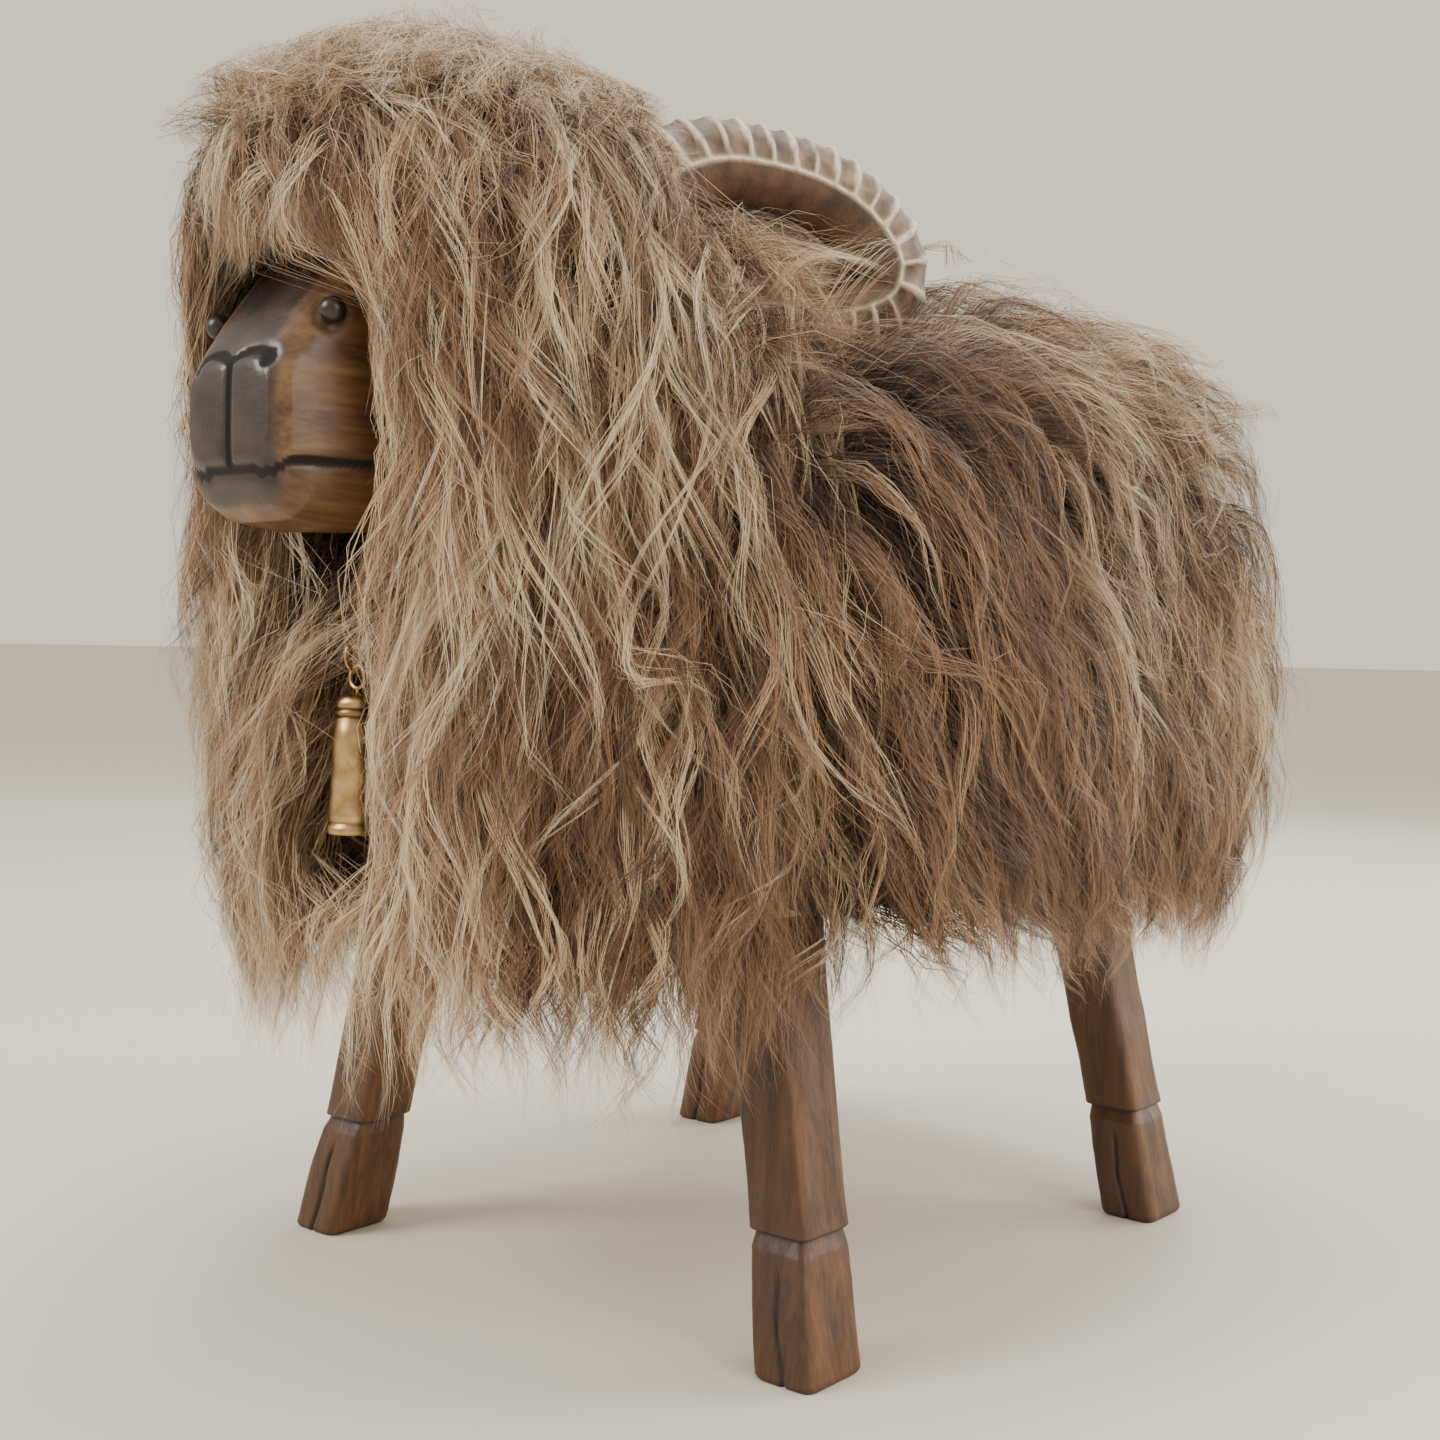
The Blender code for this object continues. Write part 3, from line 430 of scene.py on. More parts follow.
def clear_hairs(hair, out, tone, *tests):
    """Hairs are cut where they would enter a place that stays open. Stubs are left out."""
    blocked = np.zeros(hair.shape[:2], dtype=bool)
    for test in tests:
        blocked |= test(hair)
    share = first_blocked(blocked)
    keep = share > 0.22
    return resample_each(hair[keep], share[keep]), out[keep], tone[keep]


# ---- meshes ----
@contextlib.contextmanager
def editing(mesh):
    """The mesh as a bmesh, written back at the end."""
    work = bmesh.new()
    work.from_mesh(mesh)
    yield work
    work.to_mesh(mesh)
    work.free()


def quads_mesh(name, verts, quads, attributes=None):
    mesh = bpy.data.meshes.new(name)
    mesh.vertices.add(len(verts))
    mesh.vertices.foreach_set("co", verts.astype(np.float32).ravel())
    mesh.loops.add(quads.size)
    mesh.loops.foreach_set("vertex_index", quads.astype(np.int32).ravel())
    mesh.polygons.add(len(quads))
    mesh.polygons.foreach_set("loop_start", np.arange(0, quads.size, 4, dtype=np.int32))
    mesh.update(calc_edges=True)
    mesh.polygons.foreach_set("use_smooth", np.ones(len(quads), dtype=bool))
    for key, values in (attributes or {}).items():
        layer = mesh.attributes.new(key, "FLOAT", "POINT")
        layer.data.foreach_set("value", values.astype(np.float32).ravel())
    return mesh


def ribbon_mesh(rng, name, hair, out, tone, width):
    """Flat tapering ribbons, each turned a little about its own line."""
    n, m, _ = hair.shape
    tangent = unit(np.gradient(hair, axis=1))
    side = unit(np.cross(tangent, out[:, None, :]))
    up = np.cross(side, tangent)
    roll = rng.normal(0, 0.55, n)[:, None, None]
    across = side * np.cos(roll) + up * np.sin(roll)
    t = np.linspace(0, 1, m)
    taper = np.minimum(1.0, 0.55 + 2.2 * t) * np.clip((1 - t) * 1.35, 0.06, 1.0)
    half = (rng.uniform(0.7, 1.3, n)[:, None] * width / 2 * taper[None, :])[..., None]
    verts = np.stack([hair - across * half, hair + across * half], axis=2).reshape(-1, 3)
    base = (np.arange(n) * m * 2)[:, None] + (np.arange(m - 1) * 2)[None, :]
    quads = np.stack([base, base + 1, base + 3, base + 2], axis=-1).reshape(-1, 4)
    mesh = quads_mesh(name, verts, quads)
    u = np.stack([tone - 0.004, tone + 0.004], axis=-1)[:, None, :].repeat(m, axis=1)
    v = t[None, :, None].repeat(n, axis=0).repeat(2, axis=2)
    uv_at = np.stack([u, v], axis=-1).reshape(-1, 2)
    layer = mesh.uv_layers.new(name="OFBake")
    layer.data.foreach_set("uv", uv_at[quads.ravel()].astype(np.float32).ravel())
    return mesh


def wool(rng, name, hair, out, tone, surface, width):
    """Wool pieces, each under the triangle limit, that ride on the root."""
    per_piece = PIECE_TRIANGLES // (2 * (POINTS - 1))
    order = rng.permutation(len(hair))
    hair, out, tone = hair[order], out[order], tone[order]
    made = []
    for number, start in enumerate(range(0, len(hair), per_piece), 1):
        part = slice(start, start + per_piece)
        mesh = ribbon_mesh(rng, f"{name}_{number}", hair[part], out[part], tone[part], width)
        made.append(add_piece(mesh, surface))
    return made


def add_piece(mesh, surface, body="root", replaces=()):
    """An object with the mesh's name, that rides on a body in place of the CAD nodes named."""
    piece = bpy.data.objects.new(mesh.name, mesh)
    bpy.context.scene.collection.objects.link(piece)
    mesh.materials.append(surface)
    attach(piece, body)
    if replaces:
        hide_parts(*replaces)
    return piece


def ring_mesh(name, rings, attributes=None, closed=False):
    """A skin over rings of equal length. Unless the rings run in a loop, its ends are capped."""
    rings = np.asarray(rings, dtype=float)
    n, m, _ = rings.shape
    if not closed:
        first, last = rings[:1].mean(axis=1, keepdims=True), rings[-1:].mean(axis=1, keepdims=True)
        rings = np.concatenate([first.repeat(m, axis=1), rings, last.repeat(m, axis=1)])
        if attributes:
            attributes = {k: np.concatenate([v[:1], v, v[-1:]]) for k, v in attributes.items()}
        n += 2
    rows = np.arange(n if closed else n - 1)
    i, j = np.meshgrid(rows, np.arange(m), indexing="ij")
    up, right = (i + 1) % n, (j + 1) % m
    quads = np.stack([i * m + j, i * m + right, up * m + right, up * m + j], axis=-1).reshape(-1, 4)
    flat = {k: v.reshape(-1) for k, v in attributes.items()} if attributes else None
    mesh = quads_mesh(name, rings.reshape(-1, 3), quads, flat)
    with editing(mesh) as work:
        bmesh.ops.remove_doubles(work, verts=work.verts, dist=0.000002)
        bmesh.ops.recalc_face_normals(work, faces=work.faces)
    return mesh


def superellipse(half_a, half_b, power, count):
    angle = 2 * math.pi * (np.arange(count) + 0.5) / count
    c, s = np.cos(angle), np.sin(angle)
    radius = (np.abs(c) ** power + np.abs(s) ** power) ** (-1 / power)
    return half_a * radius * c, half_b * radius * s


def turned_mesh(name, profile, count=64):
    """A closed profile of (radius, height) turned about Z."""
    profile = np.array(profile)
    angle = 2 * math.pi * np.arange(count) / count
    rings = np.stack([
        profile[:, :1] * np.cos(angle), profile[:, :1] * np.sin(angle),
        profile[:, 1:].repeat(count, axis=1),
    ], axis=-1)
    return ring_mesh(name, rings, closed=True)


def ripples(p, scale, seed):
    """A smooth made-up unevenness from -1 to 1, from a few waves in different directions."""
    rng = np.random.default_rng(seed)
    total = np.zeros(p.shape[:-1])
    for _ in range(6):
        wave = unit(rng.normal(0, 1, 3)) * 2 * math.pi / (scale * rng.uniform(0.7, 1.6))
        total += np.sin(p @ wave + rng.uniform(0, 2 * math.pi))
    return total / 6


# ---- materials ----
def nodes_of(name):
    made = bpy.data.materials.new(name)
    made.use_nodes = True
    tree = made.node_tree
    return made, tree, tree.nodes["Principled BSDF"]


def node(tree, kind, **values):
    made = tree.nodes.new(kind)
    for key, value in values.items():
        setattr(made, key, value)
    return made


def ramp(tree, factor, stops):
    made = tree.nodes.new("ShaderNodeValToRGB")
    points = made.color_ramp.elements
    points[0].position, points[0].color = stops[0][0], (*stops[0][1], 1)
    points[1].position, points[1].color = stops[-1][0], (*stops[-1][1], 1)
    for place, colour in stops[1:-1]:
        points.new(place).color = (*colour, 1)
    tree.links.new(factor, made.inputs["Fac"])
    return made.outputs["Color"]


def grey_ramp(tree, factor, start, low, end, high):
    return ramp(tree, factor, ((start, (low,) * 3), (end, (high,) * 3)))


def mixed(tree, factor, a, b, mode="MIX"):
    made = tree.nodes.new("ShaderNodeMix")
    made.data_type = "RGBA"
    made.blend_type = mode
    for socket, value in ((made.inputs[0], factor), (made.inputs[6], a), (made.inputs[7], b)):
        if isinstance(value, bpy.types.NodeSocket):
            tree.links.new(value, socket)
        else:
            socket.default_value = (*value, 1) if isinstance(value, tuple) else value
    return made.outputs[2]


def noise(tree, scale, detail=4.0, stretch=(1, 1, 1), distortion=0.0):
    """Noise in the object's own coordinates, stretched along an axis whose number is small."""
    place = node(tree, "ShaderNodeTexCoord")
    mapping = node(tree, "ShaderNodeMapping")
    mapping.inputs["Scale"].default_value = stretch
    tree.links.new(place.outputs["Object"], mapping.inputs["Vector"])
    made = node(tree, "ShaderNodeTexNoise")
    made.inputs["Scale"].default_value = scale
    made.inputs["Detail"].default_value = detail
    made.inputs["Distortion"].default_value = distortion
    tree.links.new(mapping.outputs["Vector"], made.inputs["Vector"])
    return made.outputs["Fac"]


def placed(tree, kind, scale, **values):
    """A texture node in the object's own coordinates."""
    made = node(tree, kind, **values)
    made.inputs["Scale"].default_value = scale
    tree.links.new(node(tree, "ShaderNodeTexCoord").outputs["Object"], made.inputs["Vector"])
    return made


def painted(tree, name):
    made = node(tree, "ShaderNodeAttribute", attribute_name=name)
    return made.outputs["Fac"]


def coat(tree, shader, colour, roughness):
    """The base colour, and a roughness that is a number or a ramp's output."""
    tree.links.new(colour, shader.inputs["Base Color"])
    if isinstance(roughness, bpy.types.NodeSocket):
        tree.links.new(roughness, shader.inputs["Roughness"])
    else:
        shader.inputs["Roughness"].default_value = roughness


def add_bump(tree, shader, height, strength, distance):
    made = node(tree, "ShaderNodeBump")
    made.inputs["Strength"].default_value = strength
    made.inputs["Distance"].default_value = distance
    tree.links.new(height, made.inputs["Height"])
    tree.links.new(made.outputs["Normal"], shader.inputs["Normal"])


def wool_material():
    """Dark at the root, red-brown in the middle, straw-coloured at the tip, and paler in some locks."""
    made, tree, shader = nodes_of("wool")
    uv = node(tree, "ShaderNodeUVMap", uv_map="OFBake")
    split = node(tree, "ShaderNodeSeparateXYZ")
    tree.links.new(uv.outputs["UV"], split.inputs[0])
    tone, along = split.outputs["X"], split.outputs["Y"]
    dark = ramp(tree, along, (
        (0.0, (0.012, 0.006, 0.004)), (0.35, (0.045, 0.020, 0.011)), (0.75, (0.120, 0.058, 0.031)),
        (1.0, (0.210, 0.115, 0.063)),
    ))
    mid = ramp(tree, along, (
        (0.0, (0.022, 0.009, 0.005)), (0.25, (0.105, 0.047, 0.023)), (0.62, (0.300, 0.160, 0.083)),
        (1.0, (0.520, 0.325, 0.190)),
    ))
    pale = ramp(tree, along, (
        (0.0, (0.060, 0.034, 0.020)), (0.20, (0.250, 0.155, 0.090)), (0.50, (0.600, 0.450, 0.290)),
        (1.0, (0.900, 0.770, 0.580)),
    ))
    low = grey_ramp(tree, tone, 0.0, 0, 0.45, 1)
    high = grey_ramp(tree, tone, 0.50, 0, 0.90, 1)
    coat(tree, shader, mixed(tree, high, mixed(tree, low, dark, mid), pale), 0.46)
    shader.inputs["Specular IOR Level"].default_value = 0.35
    shader.inputs["Sheen Weight"].default_value = 0.25
    shader.inputs["Sheen Roughness"].default_value = 0.4
    return made


def speckled(name, scale, detail, start, low, end, high, roughness):
    """A surface of two colours in patches, with the parts that a bump is added to."""
    made, tree, shader = nodes_of(name)
    coat(tree, shader, ramp(tree, noise(tree, scale, detail), ((start, low), (end, high))), roughness)
    return made, tree, shader


def hide_material():
    """Tanned skin with the wool's short dark under-fur."""
    made, tree, shader = speckled(
        "hide", 60, 5, 0.3, (0.022, 0.011, 0.007), 0.7, (0.070, 0.036, 0.021), 0.9
    )
    add_bump(tree, shader, noise(tree, 900, 3), 0.8, 0.001)
    return made


def wood(name, axis, pitch, ring_stops, share, fibre_stops):
    """Growth rings and long fibres along an axis (0, 1 or 2), and their colours mixed."""
    made, tree, shader = nodes_of(name)
    stretch = tuple(0.05 if i == axis else 1.0 for i in range(3))
    rings, fibres = noise(tree, pitch, 6, stretch, 0.6), noise(tree, pitch * 6, 3, stretch)
    colour = mixed(tree, share, ramp(tree, rings, ring_stops), ramp(tree, fibres, fibre_stops))
    return made, tree, shader, rings, fibres, colour


def stained_wood_material():
    """Reddish stain that lies darker in patches, and painted shade from the legs' dark attribute in the
    notches, the cleft, at the foot, on the front faces and up under the wool.
    """
    made, tree, shader, rings, fibres, colour = wood("stained_wood_grain", 2, 110.0, (
        (0.30, (0.036, 0.012, 0.004)), (0.48, (0.084, 0.029, 0.007)), (0.66, (0.155, 0.058, 0.013)),
    ), 0.35, ((0.35, (0.032, 0.011, 0.004)), (0.62, (0.155, 0.062, 0.017))))
    patchy = grey_ramp(tree, noise(tree, 28, 3, (1, 1, 0.4)), 0.50, 0, 0.72, 0.62)
    colour = mixed(tree, patchy, colour, (0.036, 0.014, 0.008))
    # painted shade: the dark attribute darkens the notch, the cleft, the foot, the front faces and the top
    # under the wool
    colour = mixed(tree, painted(tree, "dark"), colour, (0.022, 0.009, 0.006))
    coat(tree, shader, colour, grey_ramp(tree, rings, 0.3, 0.55, 0.7, 0.34))
    add_bump(tree, shader, fibres, 0.35, 0.0006)
    return made


def head_wood_material():
    """Unstained tan cheeks, a dark polished nose and bridge, and painted shade, near black, in the cuts."""
    made, tree, shader, _, fibres, tan = wood("head_wood_grain", 1, 90.0, (
        (0.30, (0.045, 0.017, 0.009)), (0.52, (0.110, 0.050, 0.020)), (0.72, (0.230, 0.130, 0.050)),
    ), 0.3, ((0.35, (0.04, 0.016, 0.01)), (0.65, (0.17, 0.09, 0.04))))
    stain = ramp(tree, noise(tree, 70, 4), ((0.35, (0.014, 0.008, 0.007)), (0.70, (0.046, 0.026, 0.021))))
    colour = mixed(tree, painted(tree, "stain"), tan, stain)
    # painted shade: the cut attribute lays near black into the slit, the nostrils and the mouth
    colour = mixed(tree, painted(tree, "cut"), colour, (0.006, 0.004, 0.004))
    coat(tree, shader, colour, grey_ramp(tree, painted(tree, "cut"), 0.20, 0.34, 0.60, 0.95))
    add_bump(tree, shader, fibres, 0.25, 0.0005)
    return made


def horn_material():
    """Brown flanks, grey-brown hollows between the ridges, and cream lines rubbed along their tops."""
    made, tree, shader = nodes_of("horn_wood_grain")
    blotch = noise(tree, 110, 5)
    flank = ramp(tree, blotch, ((0.30, (0.050, 0.024, 0.014)), (0.70, (0.150, 0.078, 0.044))))
    hollow = ramp(tree, blotch, (
        (0.30, (0.052, 0.032, 0.023)), (0.50, (0.150, 0.092, 0.058)), (0.70, (0.290, 0.190, 0.118)),
    ))
    colour = mixed(tree, painted(tree, "band"), flank, hollow)
    colour = mixed(tree, painted(tree, "deep"), colour, (0.045, 0.032, 0.028))
    rub = grey_ramp(tree, noise(tree, 420, 3), 0.30, 0.45, 0.48, 1)
    cream = mixed(tree, 1.0, painted(tree, "cream"), rub, "MULTIPLY")
    colour = mixed(tree, cream, colour, (0.720, 0.600, 0.430))
    coat(tree, shader, colour, 0.52)
    add_bump(tree, shader, noise(tree, 520, 4), 0.35, 0.0008)
    return made


def frame_wood_material():
    """Sawn pine, with growth rings along the boards."""
    made, tree, shader, _, fibres, colour = wood("frame_wood_grain", 1, 60.0, (
        (0.30, (0.400, 0.235, 0.110)), (0.50, (0.600, 0.410, 0.225)), (0.70, (0.680, 0.500, 0.300)),
    ), 0.25, ((0.3, (0.3, 0.17, 0.08)), (0.7, (0.7, 0.52, 0.32))))
    coat(tree, shader, colour, 0.72)
    add_bump(tree, shader, fibres, 0.4, 0.0006)
    return made


def cloth_material():
    made, tree, shader = speckled(
        "padding_cloth_weave", 40, 4, 0.3, (0.50, 0.43, 0.33), 0.7, (0.66, 0.60, 0.48), 0.92
    )
    weave = placed(tree, "ShaderNodeTexWave", 700, wave_type="BANDS", bands_direction="DIAGONAL")
    weave.inputs["Distortion"].default_value = 2.0
    add_bump(tree, shader, weave.outputs["Fac"], 0.5, 0.0006)
    return made


def leather_material():
    made, tree, shader = speckled(
        "leather_grain", 90, 4, 0.3, (0.050, 0.022, 0.012), 0.7, (0.120, 0.058, 0.030), 0.55
    )
    pores = placed(tree, "ShaderNodeTexVoronoi", 1100)
    add_bump(tree, shader, pores.outputs["Distance"], 0.5, 0.0004)
    return made


def metal_material(name, low, high, roughness, tarnish):
    """Bare metal with darker tarnish in patches and fine scratches."""
    made, tree, shader = nodes_of(name)
    colour = ramp(tree, noise(tree, 160, 5), ((0.35, low), (0.65, high)))
    colour = mixed(tree, painted(tree, "dark"), colour, tarnish)
    rough = grey_ramp(tree, noise(tree, 90, 4), 0.3, roughness - 0.07, 0.7, roughness + 0.14)
    coat(tree, shader, colour, rough)
    shader.inputs["Metallic"].default_value = 1.0
    add_bump(tree, shader, noise(tree, 1500, 2, (1, 1, 0.08)), 0.12, 0.0003)
    return made


def glass_material():
    return speckled(
        "eye_glass_deep", 500, 2, 0.4, (0.010, 0.005, 0.004), 0.7, (0.035, 0.015, 0.009), 0.32
    )[0]


# ---- carved wood ----
def make_leg(name, side, end, surface):
    """A square leg cut with a knife: a stepped notch above the hoof and a cleft down the hoof's front."""
    foot = foot_of(name, side, end)
    table = np.array(LEG)
    heights = np.unique(np.concatenate([
        np.linspace(0, 0.004, 5), np.linspace(0.004, 0.044, 26), np.linspace(0.044, 0.054, 22),
        np.linspace(0.054, table[-1, 0], 50),
    ]))
    count = 112
    rings, dark = [], []
    for z in heights:
        half_x, half_y, lead = (np.interp(z, table[:, 0], table[:, i]) for i in (1, 2, 3))
        a, b = superellipse(half_x, half_y, 7.0, count)
        centre = np.array([-side * LEG_SPLAY[0] * z, -end * LEG_SPLAY[1] * z - lead, z])
        ring = np.stack([a, b, np.zeros(count)], axis=-1)
        front = smooth((-b / half_y - 0.80) / 0.12)
        cleft_x = 0.0006 * math.sin(z * 190 + side)
        cleft = bump(a, cleft_x, 0.0008) * front * smooth((0.044 - z) / 0.014)
        ring[:, 1] += 0.0022 * cleft
        knife = ripples(ring + centre + foot, 0.022, 5 + side + 3 * end)
        fine = ripples(ring + centre + foot, 0.007, 31 + side + 3 * end)
        outward = unit(ring + 1e-9)
        ring += outward * (0.00045 * knife + 0.00012 * fine)[:, None]
        rings.append(foot + centre + ring)
        # painted shade, kept in the dark attribute: the notch, the cleft, the foot's bottom edge, the front
        # faces and the top of the leg under the wool
        shade = 0.80 * bump(z, NOTCH - 0.0006, 0.0010) + 0.8 * cleft + 0.7 * smooth((0.0022 - z) / 0.002)
        shade = shade + 0.42 * front * smooth((0.010 + z) / 0.02) + 0.25 * smooth((z - 0.080) / 0.05)
        dark.append(np.clip(shade, 0, 1))
    base_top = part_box("base_board")[1][2]
    shoulder = heights[-1]
    for z, radius in ((shoulder + 0.0004, TENON_RADIUS), (base_top - 0.0006, TENON_RADIUS)):
        a, b = superellipse(radius, radius, 2.0, count)
        centre = np.array([-side * LEG_SPLAY[0] * z, -end * LEG_SPLAY[1] * z, z])
        rings.append(foot + centre + np.stack([a, b, np.zeros(count)], axis=-1))
        dark.append(np.zeros(count))
    mesh = ring_mesh(f"carved_leg_{name}", rings, {"dark": np.array(dark)})
    return add_piece(mesh, surface, replaces=(f"leg_{name}",))


def foot_of(name, side, end):
    """Where a leg stands, from the box of its CAD node: the sole reaches furthest out."""
    low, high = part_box(f"leg_{name}")
    reach_x = (high[0] if side > 0 else -low[0]) - SOLE_HALF[0]
    y = low[1] + SOLE_HALF[1] if end < 0 else high[1] - SOLE_HALF[1]
    return np.array([side * reach_x, y + SOLE_LEAD, 0.0])


def facet_radius(angle, half_x, half_z, chamfer=0.84, power=16.0):
    """A cut block's outline: a rectangle with chamfered corners, slightly rounded."""
    total = np.zeros_like(angle)
    for k in range(8):
        way = k * math.pi / 4
        if k % 2:
            reach = chamfer * (half_x + half_z) / math.sqrt(2)
        else:
            reach = half_x if k % 4 == 0 else half_z
        total += np.maximum(np.cos(angle - way) / reach, 0.0) ** power
    return total ** (-1 / power)


def make_head(surface):
    """The carved head: nose plates with a slit between, nostril cuts, mouth, chin and a sloping bridge."""
    table = np.array(HEAD)
    count = 320
    angle = 2 * math.pi * (np.arange(count) + 0.5) / count
    y_front, y_back = table[0, 0], table[-1, 0]
    along = np.concatenate([np.linspace(y_front, -0.215, 44), np.linspace(-0.213, y_back, 44)])
    rings = []
    for y in along:
        low, high, half = (np.interp(y, table[:, 0], table[:, i]) for i in (1, 2, 3))
        radius = facet_radius(angle, half, (high - low) / 2)
        rings.append(np.stack([
            radius * np.cos(angle), np.full(count, y), (low + high) / 2 + radius * np.sin(angle)
        ], axis=-1))
    cap = []
    middle = np.array([0.0, y_front, (table[0, 1] + table[0, 2]) / 2])
    for share in np.linspace(0.02, 0.97, 28):
        ring = middle + (rings[0] - middle) * share
        ring[:, 1] -= 0.0006 * (1 - share ** 4)
        cap.append(ring)
    p = np.array(cap + rings)
    x, y, z = np.abs(p[..., 0]), p[..., 1], p[..., 2]
    front = smooth((-0.236 - y) / 0.010)
    slit = bump(x, 0.0, 0.0016) * window(z, 0.3165, 0.3520, 0.003) * smooth((-0.244 - y) / 0.006)
    mouth_z = MOUTH_Z - 0.0016 * smooth((x - 0.006) / 0.010) + 0.0040 * smooth((x - 0.019) / 0.010)
    mouth = bump(z, mouth_z, 0.0017) * smooth((-0.216 - y) / 0.006)
    nostril_z = NOSTRIL_Z + 0.0024 * np.sin(np.clip((x - 0.002) / 0.018, 0, 1) * math.pi)
    nostril = bump(z, nostril_z, 0.0020) * window(x, 0.0016, 0.0200, 0.003) * smooth((-0.234 - y) / 0.006)
    comma = np.exp(-((x - 0.0182) ** 2 + (z - 0.3490) ** 2) / 0.0024 ** 2) * smooth((-0.234 - y) / 0.006)
    from_eye = np.linalg.norm(np.stack([x, y, z], axis=-1) - EYE_AT, axis=-1)
    socket = bump(from_eye, 0.0058, 0.0016)
    plate = window(x, 0.0028, NOSE_HALF, 0.003) * window(z, 0.3185, 0.3490, 0.004) * front
    cuts = np.clip(slit + mouth + nostril + comma, 0, 1)
    depth = 0.0013 * cuts + 0.0008 * socket - 0.0003 * plate
    sideways = unit(np.stack([-p[..., 0], np.zeros_like(x), middle[2] + 0.35 * (y + 0.255) - z], axis=-1))
    ahead = smooth((-0.247 - y) / 0.008)[..., None]
    inward = unit(np.array([0.0, 1.0, 0.0]) * ahead + sideways * (1 - ahead) + 1e-6)
    knife = ripples(p, 0.030, 3)
    p = p + inward * (depth + 0.0004 * knife)[..., None]
    slope = np.interp(y, table[:, 0], table[:, 2])
    bridge = smooth((z - slope + 0.0105) / 0.004) * window(x, -1, 0.0175, 0.004)
    bridge = bridge * smooth((-0.150 - y) / 0.02)
    nose = window(x, -1, NOSE_HALF, 0.004) * smooth((-0.2475 - y) / 0.004)
    stain = np.clip(np.maximum(bridge, nose) + 0.8 * bump(from_eye, 0.0045, 0.003), 0, 1)
    # the cut attribute is painted shade, near black, in the shallow cuts
    mesh = ring_mesh("carved_head", p, {"stain": stain, "cut": smooth((cuts - 0.15) / 0.50)})
    return add_piece(mesh, surface, replaces=("head_block",))


def make_eye(word, side, surface):
    mesh = bpy.data.meshes.new(f"glass_eye_{word}")
    with editing(mesh) as work:
        bmesh.ops.create_uvsphere(work, u_segments=40, v_segments=24, radius=EYE_RADIUS)
        bmesh.ops.translate(work, vec=(side * EYE_AT[0], EYE_AT[1], EYE_AT[2]), verts=work.verts)
    mesh.shade_smooth()
    return add_piece(mesh, surface, replaces=(f"eye_{word}",))


def make_horn(word, side, surface):
    """A curl with a ribbed band round its outer side, a raised rim beside it and smooth flanks."""
    path = smooth_path(HORN_PATH, 18)
    step = np.hypot(*np.gradient(path[:, :2], axis=0).T)
    run = np.cumsum(step) - step[0]
    share = run / run[-1]
    pitch = 0.0106 - 0.0030 * share
    phase = np.cumsum(step / pitch) + 0.35
    heading = unit(np.gradient(path[:, :2], axis=0))
    outward = np.stack([-heading[:, 1], heading[:, 0]], axis=-1)
    count = 96
    a, b = superellipse(1.0, HORN_DEPTH, 1.7, count)
    flat = np.array([math.sin(HORN_TURN), math.cos(HORN_TURN), 0.0])
    across = np.array([math.cos(HORN_TURN), -math.sin(HORN_TURN), 0.0])
    wiggle = np.random.default_rng(41 + side).normal(0, 0.05, 60)
    rings, paint = [], {"cream": [], "band": [], "deep": []}
    for i, (along, up, half) in enumerate(path):
        lean = 0.16 * (a - 0.3)
        turn = phase[i] + lean
        whole = np.floor(turn).astype(int)
        crest = np.abs(2 * (turn - whole + wiggle[whole % 60]) - 1).clip(0, 1)
        band = smooth((a + 0.16) / 0.10)
        end = smooth((1 - share[i]) / 0.03) * smooth(share[i] / 0.04)
        shrink = 1 - band * end * (0.115 * (1 - crest ** 2.4)) + 0.02 * bump(a, -0.10, 0.07) * end
        offset = outward[i][None, :] * (a * half * shrink)[:, None]
        spot = np.array([along, up]) + offset
        x = HORN_CENTRE + flat * spot[:, :1] + across * (b * half * shrink)[:, None]
        x[:, 2] = HORN_CENTRE[2] + spot[:, 1]
        x += across * (0.0004 * ripples(x, 0.02, 9))[:, None]
        x[:, 0] *= side
        rings.append(x)
        line = np.clip((crest - 0.74) / 0.14, 0, 1) * band
        rim = bump(a, -0.10, 0.055) * (share[i] > 0.02)
        paint["cream"].append(np.clip(np.maximum(line, rim), 0, 1) * end)
        paint["band"].append(band * end)
        paint["deep"].append(band * end * smooth((0.62 - crest) / 0.3) * 0.5 * smooth((a - 0.55) / 0.3))
    rings = np.array(rings)
    tip = rings[-1].mean(axis=0)
    cap = [tip + (rings[-1] - tip) * s for s in (0.9, 0.6, 0.3)]
    rings = np.concatenate([rings, cap])
    on_cap = {"cream": (0.5, 0.1, 0.1), "band": (0.6,) * 3, "deep": (0.4,) * 3}
    for key, values in on_cap.items():
        paint[key] = np.array(paint[key] + [np.full(count, value) for value in values])
    mesh = ring_mesh(f"carved_horn_{word}", rings, paint)
    return add_piece(mesh, surface, replaces=(f"horn_{word}",))


